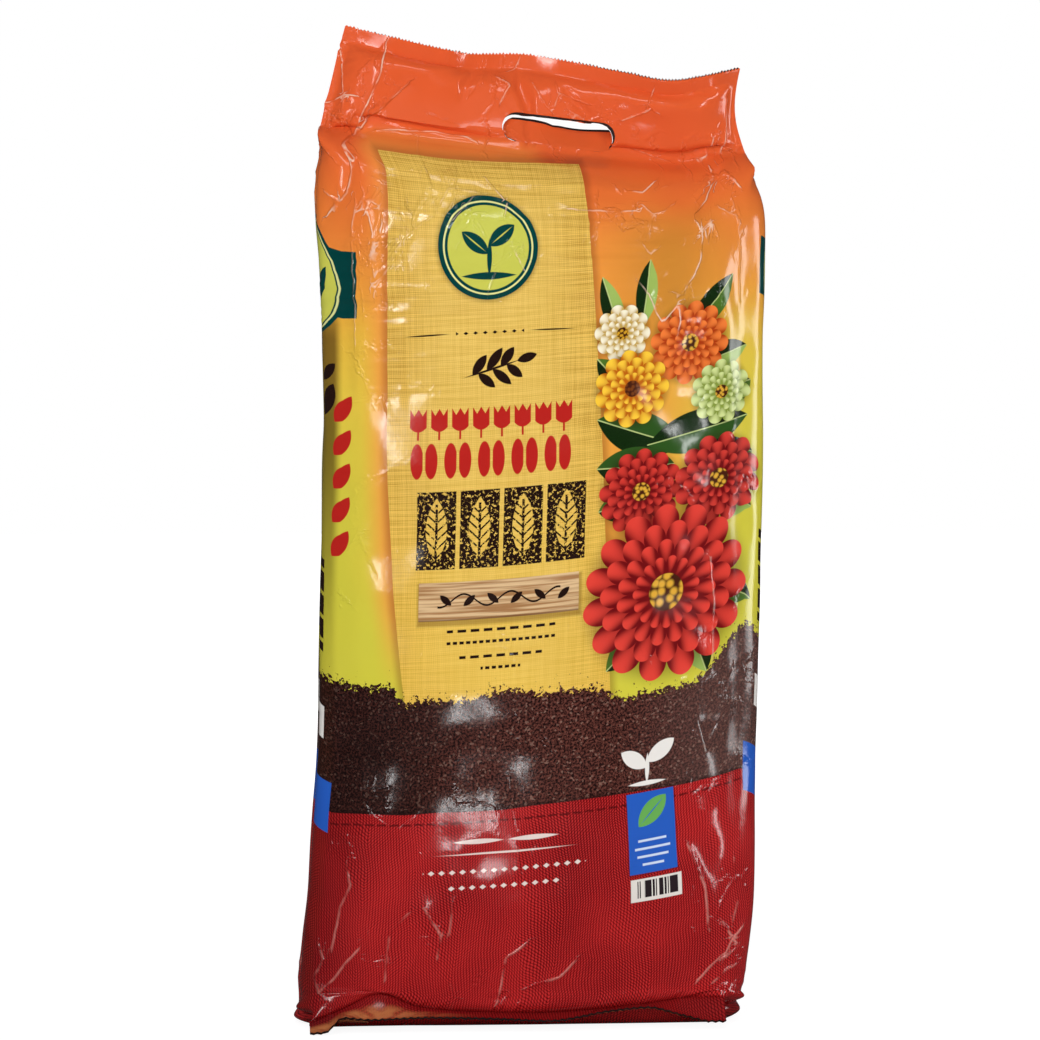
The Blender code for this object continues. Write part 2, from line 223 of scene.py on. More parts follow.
# The wrinkles
# Film is longer than the shape that it wraps, most of all under the fold and at the corners, where
# a flat tube has to close. The spare length goes in at three finenesses, and the points settle.
# FINENESS: every how many cells, share of the spare length, and rounds.
SPARE = 1.7
FINENESS = ((4, 0.55, 260), (2, 0.85, 160), (1, 1.0, 90))
PRESSED = 0.9
STIFFNESS = 0.0025
FILL_HOLD, HEADER_HOLD, CREASE_HOLD, SLIDE = 0.004, 0.001, 0.006, 0.1
FILL_LUMPS = 0.0013
BODY_LIMIT, SHOULDER_LIMIT, HEADER_LIMIT = 0.005, 0.013, 0.009
FLOOR_CLEARANCE = 0.0003


def lumps(rows, columns, wave, seed):
    """Smooth noise that closes round the tube: random heights at a pitch of wave, eased between."""
    up, round_tube = round(ROWS * CELL / wave) + 1, round(COLUMNS * CELL / wave)
    heights = np.random.default_rng(seed).standard_normal((up + 2, round_tube))
    row, column = np.asarray(rows) / ROWS * up, np.asarray(columns) / COLUMNS * round_tube
    low, left = row.astype(int), column.astype(int)
    high, right = low + 1, (left + 1) % round_tube
    rise, turn = ease(row - low)[:, None], ease(column - left)[None, :]
    below = heights[low][:, left] * (1.0 - turn) + heights[low][:, right] * turn
    above = heights[high][:, left] * (1.0 - turn) + heights[high][:, right] * turn
    return below * (1.0 - rise) + above * rise


def neighbours_sum(points):
    """What a point's neighbours have more than itself, summed: a grid Laplacian, open at both ends."""
    total = np.roll(points, 1, axis=1) + np.roll(points, -1, axis=1) - 2.0 * points
    total[1:-1] += points[2:] + points[:-2] - 2.0 * points[1:-1]
    return total


def outward(points):
    """Unit normals of the grid: the step round the tube crossed with the step up it."""
    up = np.empty_like(points)
    up[1:-1] = points[2:] - points[:-2]
    up[0], up[-1] = points[1] - points[0], points[-1] - points[-2]
    normal = np.cross(np.roll(points, -1, axis=1) - np.roll(points, 1, axis=1), up)
    return normal / np.maximum(np.linalg.norm(normal, axis=2, keepdims=True), 1e-12)


def lengths(points, turn, rise):
    """Lengths from each point to the one that lies turn columns on and rise rows up."""
    step = np.roll(points, -turn, axis=1)[rise:] - points[:len(points) - rise]
    return np.linalg.norm(step, axis=2)


def pull(step, rest):
    """Half of what brings a pair from its step to its rest length, less where it is too close."""
    share = 0.5 * (1.0 - rest / np.sqrt(np.einsum("ijk,ijk->ij", step, step)))
    return step * np.where(share < 0.0, PRESSED * share, share)[:, :, None]


def settle(points, shape, normal, rest, hold, slide, stiffness, push, limit, rounds):
    """Pulls neighbours to their rest lengths, smooths bends, and holds the film near its shape.

    Each round takes the pairs round the tube, up it and along both diagonals, every other pair at
    a time, so that no point is in two pairs at once. It then takes off a share of the Laplacian of
    the Laplacian, and moves the points along the shape's normal by the hold, the push and whatever
    lies beyond the limit.
    """
    count = points.shape[1]
    for _ in range(rounds):
        for odd in (0, 1):
            ahead = (np.arange(odd, count, 2) + 1) % count
            move = pull(points[:, ahead] - points[:, odd::2], rest[1, 0][:, odd::2])
            points[:, odd::2] += move
            points[:, ahead] -= move
        for turn in (0, 1, -1):
            for odd in (0, 1):
                upper = points[odd + 1::2]
                lower = points[odd::2][:len(upper)]
                move = pull(np.roll(upper, -turn, axis=1) - lower, rest[turn, 1][odd::2])
                lower += move
                upper -= np.roll(move, turn, axis=1)
        bent = neighbours_sum(neighbours_sum(points))
        bent[:2], bent[-2:] = 0.0, 0.0
        points -= stiffness[:, :, None] * bent
        away = shape - points
        inward = np.einsum("ijk,ijk->ij", away, normal)
        beyond = inward - np.clip(inward, -limit, limit)
        along = hold * (1.0 - slide) * inward + 0.5 * beyond + push
        points += along[:, :, None] * normal + (hold * slide)[:, :, None] * away
        np.maximum(points[:, :, 2], FLOOR_CLEARANCE, out=points[:, :, 2])
    return points


def wrinkled_tube():
    """The film's points and coordinates, from the coarsest grid to the finest.

    A finer grid starts from the coarser one's offsets from its shape, halved between. The spare
    length is a sum of bell curves: about the shoulder, the base and the creases, and it comes in
    patches from the lumps.
    """
    right, back = PANEL_CELLS, PANEL_CELLS + 2 * HALF_CELLS
    creases = np.array([0, right, back, back + PANEL_CELLS, COLUMNS])
    offset = None
    for step, amount, rounds in FINENESS:
        rows, columns = np.arange(0, ROWS + 1, step), np.arange(0, COLUMNS, step)
        shape, film = filled_tube(rows, columns)
        normal = outward(shape)
        row, column = rows[:, None] + 0.0 * columns, columns[None, :] + 0.0 * rows[:, None]
        height = BASE_TOP + (FOLD_HEIGHT - BASE_TOP) * (row - FIRST_BODY_ROW) / BODY_ROWS
        in_header = row > FOLD_ROW
        in_gusset = ((column > creases[1]) & (column < creases[2])) | (column > creases[3])
        to_crease = np.abs(column[:, :, None] - creases).min(axis=2) * CELL
        corner = np.exp(-(to_crease / 0.035) ** 2)
        shoulder, upper = np.exp(-((height - 0.555) / 0.05) ** 2), ease((height - 0.30) / 0.25)
        bottom = np.exp(-((height - 0.02) / 0.035) ** 2)
        patches = np.clip(1.0 + 0.6 * lumps(rows, columns, 0.06, 21), 0.15, 2.2)
        more_round = 0.006 + 0.006 * upper + 0.012 * corner * shoulder + 0.012 * in_header + 0.004 * bottom
        smooth_side = np.exp(-((column - right) * CELL / 0.045) ** 2)
        more_up = (0.006 + 0.008 * upper + 0.045 * shoulder * (0.5 + 0.4 * corner - 0.65 * smooth_side)
                   + 0.006 * bottom + 0.012 * in_header)
        more_round, more_up = SPARE * amount * patches * more_round, SPARE * amount * patches * more_up
        more_diagonal = 0.5 * (more_round + more_up)[:-1]
        rest = {
            (1, 0): lengths(shape, 1, 0) * (1.0 + more_round),
            (0, 1): lengths(shape, 0, 1) * (1.0 + more_up[:-1]),
            (1, 1): lengths(shape, 1, 1) * (1.0 + more_diagonal),
            (-1, 1): lengths(shape, -1, 1) * (1.0 + more_diagonal),
        }
        filled = ease((row - FIN_ROWS) / 20.0) * ease((FOLD_ROW - row) / 10.0)
        bumps = lumps(rows, columns, 0.05, 5) + 0.4 * lumps(rows, columns, 0.022, 6)
        shape = shape + normal * (FILL_LUMPS * filled * bumps)[:, :, None]
        if offset is None:
            points = shape + normal * (0.0008 * lumps(rows, columns, 0.03, 8))[:, :, None]
        else:
            finer = np.zeros_like(shape)
            finer[0::2, 0::2] = offset
            finer[1::2, 0::2] = 0.5 * (offset[1:] + offset[:-1])
            finer[:, 1::2] = 0.5 * (finer[:, 0::2] + np.roll(finer[:, 0::2], -1, axis=1))
            points = shape + finer
        # The fin, the header's gussets and the top weld keep their shape, and the rest is free
        hold = np.select([row <= FIN_ROWS, row >= ROWS - 5, in_header & in_gusset, in_header],
                         [0.5, 1.0, 0.3, HEADER_HOLD], FILL_HOLD)
        near_crease = np.exp(-(to_crease / 0.010) ** 2)
        hold = hold + CREASE_HOLD * near_crease * (row > FIRST_BODY_ROW) * ease((0.56 - height) / 0.05)
        header_side = in_header & (to_crease < 0.006)
        hold = np.where(header_side & ~in_gusset, 0.1, hold)
        firm = (row <= FIN_ROWS) | (row >= ROWS - 5) | header_side | (in_header & in_gusset)
        slide = np.where(firm, 1.0, SLIDE)
        near = np.exp(-((height - 0.56) / 0.06) ** 2)
        limit = BODY_LIMIT + (SHOULDER_LIMIT - BODY_LIMIT) * near
        limit = limit + (HEADER_LIMIT - BODY_LIMIT) * ease((row - FOLD_ROW) / 6.0)
        limit = np.where(in_header & in_gusset, 0.0003, limit)
        stiffness = np.where(in_header, 0.8, 1.0) * STIFFNESS
        push = np.full(row.shape, 0.000016 * step)
        settle(points, shape, normal, rest, hold, slide, stiffness, push, limit, rounds)
        offset = points - shape
    return points, film


# The creases
# Where a wrinkle has been pressed flat once, the film keeps a sharp ridge or dent. The long ones are
# placed, each as a height (negative for a dent) and then a bent line of places u, t, all in
# millimetres. The rest come in small stars.
CREASES = (
    (1.3, -114.4, 666.3, -111.1, 640.9, -114.4, 624.2, -118.7, 607.9, -121.3, 593.9),
    (0.8, -139.5, 608.2, -131.3, 606.6),
    (-1.5, -91.6, 638.2, -105.2, 619.5, -116.9, 602, -129.4, 587.2),
    (0.9, -107.1, 600.2, -85.8, 602.9, -66, 605.4, -49, 604.6, -40.6, 602),
    (0.8, -31.9, 650.9, -22.1, 644.8, -25.3, 639.8, -27.9, 632.2),
    (0.8, -16, 668.3, -19.5, 658.9, -23.9, 656.6),
    (0.7, -4.6, 647.8, 2, 639.5, 10.2, 630.3),
    (0.7, 12.2, 649.5, 14.3, 643.3, 11.5, 633.2),
    (0.6, -75.1, 619.5, -60.3, 616.9),
    (0.6, -105.8, 615.4, -100.2, 611.8),
    (0.7, 13.5, 643.9, 35.7, 640.4),
    (0.7, 23.5, 632.1, 39.3, 625.7),
    (0.9, 80.4, 661.8, 78.1, 647.8, 84.5, 643.2),
    (0.8, 60.3, 632.6, 78.2, 643.9),
    (0.9, 137.2, 647, 135.8, 625.4, 126.1, 596.8),
    (0.9, 123.6, 619.2, 118.1, 600.2, 110.7, 599.1),
    (0.7, 43.4, 607.6, 55.2, 611.1),
    (0.7, 68.6, 608.7, 80.3, 604, 92.8, 600.5),
    (1.1, 122.7, 589, 130.5, 582.9, 136.6, 576),
    (0.8, 49, 577.7, 51.8, 574.1, 54.4, 576.7),
    (1.1, 58.4, 576.3, 68, 575.8, 75.7, 583.8),
    (0.6, 81, 580.7, 84.5, 582.3),
    (0.9, 67, 567.2, 74.3, 561.2, 82.4, 563.9, 89, 569.5),
    (0.8, 74.3, 561.2, 71.3, 548.2),
    (1.0, 15.1, 562.9, 35.7, 562.3, 63.8, 562.9),
    (1.5, 105.1, 555.1, 108.7, 543.8, 107, 528.9, 102.2, 517.3, 95.4, 507.3, 94.9, 502.6, 88.3, 505.3),
    (0.8, 66.4, 538.8, 71.7, 531.1, 75.8, 535.3),
    (1.2, 64, 512, 70, 503.9, 76, 491.3, 80.7, 484.6, 86.9, 491.8, 92, 498, 89, 504),
    (1.1, 91.6, 496.6, 93.4, 486.5, 91.6, 477.3),
    (-3.2, 116.4, 593.7, 115.7, 579, 113.3, 571.5, 107.6, 564.6),
    (0.9, 122.3, 562.6, 136.1, 555.2, 140.9, 543.7),
    (0.7, 131.9, 567.8, 138.6, 537.5, 140.5, 499.5),
    (-2.6, -129.5, 584.6, -131.5, 570.8, -138.1, 558, -147.9, 550.3, -154.5, 545.3),
    (0.9, -127.5, 586.9, -126.4, 579.5, -130.6, 574),
    (0.7, -110.3, 581.2, -107, 577.1),
    (0.6, -115.9, 569.7, -112, 568.6),
    (1.2, -127.8, 555.4, -120.8, 556.8, -115, 553.7, -113.1, 547, -115.1, 540.1),
    (1.1, -126.8, 552.5, -122.5, 545.6, -120.7, 536.4, -124.1, 518.5),
    (1.1, -124.1, 518.5, -118.6, 526.6, -108.8, 535, -103.3, 537.1),
    (0.8, -130.7, 554.6, -135.6, 541.2, -137.1, 521.3, -135.6, 499.5, -135.7, 469.7),
    (0.8, -151.8, 557.5, -144.5, 553.2, -148, 547.4),
    (0.9, -122.9, 506.9, -118.9, 516.4, -110.8, 523.6, -100.7, 535),
    (0.8, -121, 505.7, -112.7, 516.5, -105.1, 527.3, -100.1, 533.9),
    (0.7, -73.7, 559.3, -65.5, 570.9, -57.6, 570.7, -46.3, 570.6),
    (0.6, -83.2, 559.1, -77, 563.3),
    (0.7, -49.1, 567.8, -57.6, 558.6, -67.2, 548.7),
    (0.6, -96.6, 539.3, -87.8, 545.3, -78, 552.3),
    (0.6, -100.1, 550.4, -96.5, 542.2, -99.4, 534),
    (0.6, -61.9, 565.7, -69.6, 554.5),
    (0.8, 117.6, 326.1, 120.8, 296, 119.4, 249.5),
    (0.5, -116.9, 436.1, -114.5, 426.7),
    (0.8, 113, 234.5, 110.3, 214.1, 116, 192.1),
    (0.9, -131.4, 117.6, -128.3, 101.1, -133.9, 87.1, -134.8, 72.1, -136.4, 57.4),
    (1.0, -145.6, 60.3, -141.2, 50, -146.7, 38.7, -142.8, 27.6),
    (0.9, -117.5, 59.2, -125.5, 49.3, -132.3, 38.2, -140.6, 29.6),
    (0.8, -86.8, 84.6, -97.8, 70, -97.6, 37.3),
    (1.0, -76.4, 87.4, -62.5, 68.5, -63.4, 53.4),
    (0.8, -57.7, 90.9, -57.3, 69.9),
    (1.1, -1.3, 65.5, -16.3, 54, -17.5, 22.2),
    (1.0, 34.4, 53.9, 23.4, 40.6, -0.5, 32.2),
    (0.9, -14.8, 130.3, -12, 112.5),
    (1.5, 104.9, 127.9, 116.9, 101.2, 122.2, 70.7),
    (1.0, 133.9, 50.3, 126.6, 43.5, 119.3, 34),
    (1.1, 149.9, 70.4, 140.4, 59.8, 136.1, 48.2),
    (0.9, 139.3, 117.7, 144.6, 88.2, 141.5, 73.2),
    (0.9, 131.2, 32.8, 138.8, 40.5, 146.7, 43.7),
)
CREASE_WIDTH, CREASE_REACH = 0.0026, 0.006
STARS, STAR_ARMS = 60, 4
STAR_ARM = (0.006, 0.026)
FIN_TOOTH = 0.0010


def crumpled(u, t):
    """How crumpled the film is, about 0 to 1: bells at the shoulder, the base and the gusset creases."""
    panel = (u + 0.5 * PANEL_WIDTH) % (PANEL_WIDTH + 2.0 * GUSSET_HALF)
    to_crease = np.minimum(panel, np.abs(panel - PANEL_WIDTH))
    return (0.12 + 0.9 * np.exp(-((t - 0.56) / 0.05) ** 2) + 0.7 * np.exp(-((t - 0.03) / 0.04) ** 2)
            + 0.55 * np.exp(-(to_crease / 0.022) ** 2) + 0.35 * (t > FOLD_HEIGHT))


def star_creases(count, seed):
    """Creases in stars: a middle, then arms at even angles that are jittered, with thinner heights.

    The middles are strewn over the film, and are kept more often near the shoulders, the gusset
    creases and the base, where the film is crumpled most.
    """
    chance = np.random.default_rng(seed)
    tries = 6 * count
    u = chance.uniform(-0.5 * PANEL_WIDTH, COLUMNS * CELL - 0.5 * PANEL_WIDTH, tries)
    t = chance.uniform(0.02, FOLD_HEIGHT + 0.9 * HEADER_LENGTH, tries)
    crumple = crumpled(u, t)
    kept = np.flatnonzero(chance.uniform(0.0, 1.3, tries) < crumple)[:count]
    arms = (len(kept), STAR_ARMS)
    angle = (chance.uniform(0.0, 2.0 * np.pi, (len(kept), 1)) + np.arange(STAR_ARMS) * 2.0 * np.pi / STAR_ARMS
             + chance.normal(0.0, 0.4, arms))
    reach = chance.uniform(*STAR_ARM, arms) * chance.uniform(0.3, 1.0, arms)
    middle_u, middle_t = u[kept][:, None] + 0.0 * angle, t[kept][:, None] + 0.0 * angle
    height = chance.uniform(0.0003, 0.0012, arms) * crumple[kept][:, None].clip(0.3, 1.1)
    end_u, end_t = middle_u + reach * np.cos(angle), middle_t + 1.5 * reach * np.sin(angle)
    return np.stack([height, middle_u, middle_t, end_u, end_t], axis=2).reshape(-1, 5)


def pieces(creases):
    """The straight pieces of bent lines, in metres: height, start and end."""
    rows = []
    for height, *places in creases:
        places = 0.001 * np.reshape(places, (-1, 2))
        rows += [(0.001 * height, *start, *end) for start, end in zip(places[:-1], places[1:])]
    return np.array(rows)


def pressed(film_u, film_t, creases):
    """Height of the creases, distance to one side of the nearest one, and how strong that one is.

    A crease is a ridge that falls off exponentially to its sides, and the highest ridge counts. Its
    strength is its height, less and less towards CREASE_REACH. Places past a full turn of the tube
    count as one turn less.
    """
    ridge, nearest = np.zeros_like(film_u), np.full(film_u.shape, 1.0)
    beside, strength = np.full(film_u.shape, 1.0), np.zeros_like(film_u)
    turn = COLUMNS * CELL
    for height, start_u, start_t, end_u, end_t in creases:
        run_u, run_t = end_u - start_u, end_t - start_t
        length = np.hypot(run_u, run_t)
        off_u = (film_u - 0.5 * (start_u + end_u) + 0.5 * turn) % turn - 0.5 * turn
        off_t = film_t - 0.5 * (start_t + end_t)
        along = (off_u * run_u + off_t * run_t) / length
        aside = (off_u * run_t - off_t * run_u) / length
        away = np.hypot(np.clip(np.abs(along) - 0.5 * length, 0.0, None), aside)
        rise = height * np.exp(-away / CREASE_WIDTH)
        ridge = np.where(np.abs(rise) > np.abs(ridge), rise, ridge)
        closer = away < nearest
        nearest = np.where(closer, away, nearest)
        beside = np.where(closer, np.copysign(away, aside), beside)
        strength = np.where(closer, np.abs(height) * np.clip(1.0 - away / CREASE_REACH, 0.0, 1.0), strength)
    return ridge, np.clip(beside, -0.01, 0.01), strength


points, film = wrinkled_tube()
all_creases = np.concatenate([pieces(CREASES), star_creases(STARS, 11)])
creased, beside_crease, crease_strength = pressed(film[:, :, 0], film[:, :, 1], all_creases)
creased[:FIN_ROWS + 2] = 0.0
creased[-5:] *= 0.3
# A toothed knife cut the fin's end
points[0, ::2, 2] += FIN_TOOTH
points = points + outward(points) * creased[:, :, None]

# The hand slot
# A slot with round ends, punched through the header just over the fold. The film's points next to
# its outline slide along the film onto the outline, and the cells inside are left out.
SLOT_X, SLOT_Z = 0.011, 0.6153
SLOT_WIDTH, SLOT_HEIGHT = 0.078, 0.020
SLOT_TURN = np.radians(-7.0)


def in_slot_frame(x, z):
    """Places along the slot and up it, from its middle."""
    across, up = x - SLOT_X, z - SLOT_Z
    return (across * np.cos(SLOT_TURN) + up * np.sin(SLOT_TURN),
            up * np.cos(SLOT_TURN) - across * np.sin(SLOT_TURN))


def slot_distance(places):
    """Distance outside the slot's outline: that to its middle line, less half its height."""
    along, aside = in_slot_frame(places[:, :, 0], places[:, :, 2])
    past = np.clip(np.abs(along) - 0.5 * (SLOT_WIDTH - SLOT_HEIGHT), 0.0, None)
    return np.hypot(past, aside) - 0.5 * SLOT_HEIGHT


NEAR_OUTLINE, ON_OUTLINE, WELL_INSIDE = 0.55 * CELL, 0.0003, -0.0012
header_front = (slice(FOLD_ROW, ROWS + 1), slice(0, PANEL_CELLS + 1))
for _ in range(2):
    distance = slot_distance(points[header_front])
    slope_up, slope_round = np.gradient(distance)
    steep = slope_up**2 + slope_round**2
    close = np.abs(distance) < NEAR_OUTLINE
    go_up, go_round = [np.where(close, -distance * slope / steep, 0.0) for slope in (slope_up, slope_round)]
    step_up, step_round = np.gradient(points[header_front], axis=(0, 1))
    points[header_front] += go_up[:, :, None] * step_up + go_round[:, :, None] * step_round
    film[header_front] += np.stack([go_round * CELL, go_up * HEADER_LENGTH / HEADER_ROWS], axis=2)
distance = slot_distance(points[header_front])
on_outline = np.abs(distance) < ON_OUTLINE
corners = distance[:-1, :-1] + distance[1:, :-1] + distance[:-1, 1:] + distance[1:, 1:]
cut = np.zeros((ROWS, COLUMNS), bool)
cut[FOLD_ROW:, :PANEL_CELLS] = corners < WELL_INSIDE

# The header's layers
# Over the fold the film lies flat: the back panel on the front one, and the two halves of each
# gusset between them. All of them take the front panel's shape, each a little further back.
LAYER_BLEND = 0.006
BACK_SLOT_SHIFT = np.array([-0.0016, 0.0, -0.0013])
fold_to_top = np.arange(FOLD_ROW, ROWS + 1)
front_sheet = points[fold_to_top, :PANEL_CELLS + 1]
sheet_up, sheet_round = np.gradient(front_sheet, axis=(0, 1))
behind = np.cross(sheet_up, sheet_round)
behind /= np.linalg.norm(behind, axis=2, keepdims=True)
every_column = np.arange(COLUMNS)
is_back_half = (every_column > PANEL_CELLS + HALF_CELLS) & (every_column < COLUMNS - HALF_CELLS)
mirror = np.where(is_back_half, (2 * PANEL_CELLS + 2 * HALF_CELLS - every_column), every_column)
# Columns past a crease lie under the panel again, as far in as they are past it
mirror = np.where(mirror > PANEL_CELLS + HALF_CELLS, mirror - COLUMNS, mirror)
under = np.where(mirror > PANEL_CELLS, 2 * PANEL_CELLS - mirror, np.abs(mirror))
past_crease = np.clip(np.maximum(mirror - PANEL_CELLS, -mirror), 0, HALF_CELLS) / HALF_CELLS
layer = np.where(is_back_half, 2.0 - past_crease, past_crease) * SHEET_GAP
stacked = front_sheet[:, under] + behind[:, under] * layer[:, None]
laid_flat = ease((fold_to_top - FOLD_ROW) * HEADER_LENGTH / HEADER_ROWS / LAYER_BLEND)[:, None, None]
points[fold_to_top] += laid_flat * (stacked - points[fold_to_top])
# The back panel's slot sits a little lower and further left, so its black inside shows at the rim
back_columns = np.arange(2 * PANEL_CELLS + 2 * HALF_CELLS, PANEL_CELLS + 2 * HALF_CELLS - 1, -1)
points[np.ix_(fold_to_top, back_columns)] += on_outline[:, :, None] * BACK_SLOT_SHIFT
cut[:, PANEL_CELLS + 2 * HALF_CELLS:-2 * HALF_CELLS] = cut[:, PANEL_CELLS - 1::-1]

# The film's skin
# One closed skin: the grid of cells, less the slot, and narrow strips of the film's black inside
# where it was cut. Those close the top edge, which a toothed knife left, the fin and the slot.
TOOTH = 0.0014
opposite_column = (2 * PANEL_CELLS + 2 * HALF_CELLS - every_column) % COLUMNS
numbers = np.arange((ROWS + 1) * COLUMNS).reshape(-1, COLUMNS)
next_numbers = np.roll(numbers, -1, axis=1)
cells = np.stack([numbers[:-1], next_numbers[:-1], next_numbers[1:], numbers[1:]], axis=2)[~cut]


def opposite(vertex):
    """The vertex on the other panel that lies behind this one: same row, mirrored column."""
    return vertex - vertex % COLUMNS + opposite_column[vertex % COLUMNS]


def strip(first, second):
    """Quads from each edge, first to second, to the same edge on the other panel."""
    return np.stack([first, second, opposite(second), opposite(first)], axis=1)


front_cut = cut[:, :PANEL_CELLS]
row, column = np.nonzero(front_cut[:, 1:] & ~front_cut[:, :-1])
left_rim = strip(numbers[row + 1, column + 1], numbers[row, column + 1])
row, column = np.nonzero(front_cut[:, :-1] & ~front_cut[:, 1:])
right_rim = strip(numbers[row, column + 1], numbers[row + 1, column + 1])
row, column = np.nonzero(front_cut[1:] & ~front_cut[:-1])
lower_rim = strip(numbers[row + 1, column], numbers[row + 1, column + 1])
row, column = np.nonzero(front_cut[:-1] & ~front_cut[1:])
upper_rim = strip(numbers[row + 1, column + 1], numbers[row + 1, column])
# The fin's end and the gussets' top ends: from the middle of the left gusset to that of the right
half_round = np.arange(-HALF_CELLS, PANEL_CELLS + HALF_CELLS) % COLUMNS
fin_rim = strip(next_numbers[0, half_round], numbers[0, half_round])
gusset_ends = half_round[half_round >= PANEL_CELLS]
gusset_rim = strip(numbers[ROWS, gusset_ends], next_numbers[ROWS, gusset_ends])
# One tooth to a cell along the front and the back panel's top edge
edge_columns = np.arange(PANEL_CELLS)
edge, edge_after = numbers[ROWS, edge_columns], next_numbers[ROWS, edge_columns]
first_tip = (ROWS + 1) * COLUMNS
front_tips, back_tips = first_tip + edge_columns, first_tip + PANEL_CELLS + edge_columns
flat_points, flat_film = points.reshape(-1, 3), film.reshape(-1, 2)
tooth = np.random.default_rng(3).uniform(0.6, 1.2, PANEL_CELLS)[:, None] * TOOTH
front_tip_points = 0.5 * (flat_points[edge] + flat_points[edge_after]) + tooth * (0.0, 0.0, 1.0)
back_middle = 0.5 * (flat_points[opposite(edge)] + flat_points[opposite(edge_after)])
back_tip_points = back_middle + tooth * (0.0, 0.0, 1.0)
front_teeth = np.stack([edge, edge_after, front_tips], axis=1)
back_teeth = np.stack([opposite(edge_after), opposite(edge), back_tips], axis=1)
tooth_rim = np.concatenate([
    np.stack([edge, front_tips, back_tips, opposite(edge)], axis=1),
    np.stack([front_tips, edge_after, opposite(edge_after), back_tips], axis=1),
])

# The tongue
# The flap that the punch left: the same film, joined along the slot's lower edge and pushed back out
# of it. Here it is a thin closed sheet, rounded like the slot's upper side.
TONGUE_LEAN, TONGUE_CLEARANCE, TONGUE_SHEET = np.radians(36.0), 0.0010, 0.0009
TONGUE_ROOT, TONGUE_NOTCH, TONGUE_EDGE = 0.0015, 0.0010, 0.0018
TONGUE_ROWS, TONGUE_COLUMNS = 9, 33
to_end = np.linspace(-1.0, 1.0, TONGUE_COLUMNS)[None, :]
tongue_length = SLOT_HEIGHT - TONGUE_CLEARANCE
reach = np.concatenate([[-TONGUE_ROOT], np.linspace(0.0, tongue_length - TONGUE_EDGE, TONGUE_ROWS - 1)])
reach = np.append(reach, tongue_length)[:, None]
round_end = 0.5 * SLOT_HEIGHT
inset = round_end - np.sqrt(round_end**2 - np.clip(reach - round_end, -round_end, round_end) ** 2)
inset = np.where(reach < 0.0, 0.008, inset)
along = (0.5 * SLOT_WIDTH - TONGUE_CLEARANCE - inset * np.where(to_end > 0.0, 0.5, 1.0)) * to_end
notch = TONGUE_NOTCH / SLOT_HEIGHT * np.exp(-((along + 0.004) / 0.003) ** 2)
out = np.clip(reach, 0.0, None) * (1.0 - notch)
lean = TONGUE_LEAN + 0.12 * np.sin(3.1 * to_end + 0.6)
up = np.minimum(reach, 0.0) + out * np.cos(lean) - round_end
tongue_x = SLOT_X + along * np.cos(SLOT_TURN) - up * np.sin(SLOT_TURN)
tongue_z = SLOT_Z + along * np.sin(SLOT_TURN) + up * np.cos(SLOT_TURN)
hinge = flat_points[lower_rim[:, 0]]
hinge = hinge[np.argsort(hinge[:, 0])]
hinge_y = np.interp(tongue_x, hinge[:, 0], hinge[:, 1])
tongue_y = hinge_y + 0.5 * SHEET_GAP + out * np.sin(lean)
tongue_front = np.stack([tongue_x, tongue_y, tongue_z], axis=2)
tongue_normal = np.stack([0.0 * lean, -np.cos(lean), -np.sin(lean)], axis=2) + 0.0 * tongue_front
tongue_front = tongue_front - 0.5 * TONGUE_SHEET * tongue_normal * (-1.0, 1.0, 1.0)
tongue_back = tongue_front + TONGUE_SHEET * tongue_normal * (1.0, -1.0, 1.0)
tongue_points = np.concatenate([tongue_front.reshape(-1, 3), tongue_back.reshape(-1, 3)])
first_tongue = first_tip + 2 * PANEL_CELLS
tongue_numbers = first_tongue + np.arange(len(tongue_points)).reshape(2, TONGUE_ROWS + 1, TONGUE_COLUMNS)
front_side, back_side = tongue_numbers


def grid_quads(side):
    """Quads of a grid of vertices, turned so that they face the way that the grid does."""
    return np.stack([side[:-1, :-1], side[:-1, 1:], side[1:, 1:], side[1:, :-1]], axis=2)


front_flap = grid_quads(front_side)
back_flap = grid_quads(back_side)[:, :, [1, 0, 3, 2]]
outline = np.concatenate([
    front_side[:-1, -1], front_side[-1, :0:-1], front_side[:0:-1, 0], front_side[0, :-1],
])
outline_after = np.roll(outline, -1)
behind_it = back_side[0, 0] - front_side[0, 0]
flap_rim = np.stack([outline_after, outline, outline + behind_it, outline_after + behind_it], axis=1)
# The flap takes the print of the part of the film that it was cut from
tongue_u = 0.0160 + along
tongue_t = 0.6190 + np.clip(reach, 0.0, None) - round_end
tongue_film = np.stack([tongue_u + 0.0 * up, tongue_t + 0.0 * up], axis=2).reshape(-1, 2)
vertices = np.concatenate([flat_points, front_tip_points, back_tip_points, tongue_points])
film_places = np.concatenate([
    flat_film, 0.5 * (flat_film[edge] + flat_film[edge_after]) + (0.0, TOOTH),
    0.5 * (flat_film[opposite(edge)] + flat_film[opposite(edge_after)]) + (0.0, TOOTH),
    tongue_film, tongue_film + (PANEL_WIDTH + 2.0 * GUSSET_HALF, 0.0),
])


def without_repeats(quads):
    """Quads that come back to a vertex of theirs, as at the middle of a gusset, become triangles."""
    first_last = quads[:, 0] == quads[:, 3]
    middle = quads[:, 1] == quads[:, 2]
    whole = quads[~(first_last | middle)].tolist()
    return whole + quads[first_last][:, :3].tolist() + quads[middle][:, [0, 1, 3]].tolist()


printed = (cells.tolist() + front_teeth.tolist() + back_teeth.tolist()
           + front_flap[:-1].reshape(-1, 4).tolist() + back_flap.reshape(-1, 4).tolist())
inside = front_flap[-1].tolist()
for quads in (left_rim, right_rim, lower_rim, upper_rim, fin_rim, gusset_rim, tooth_rim, flap_rim):
    inside += without_repeats(quads)

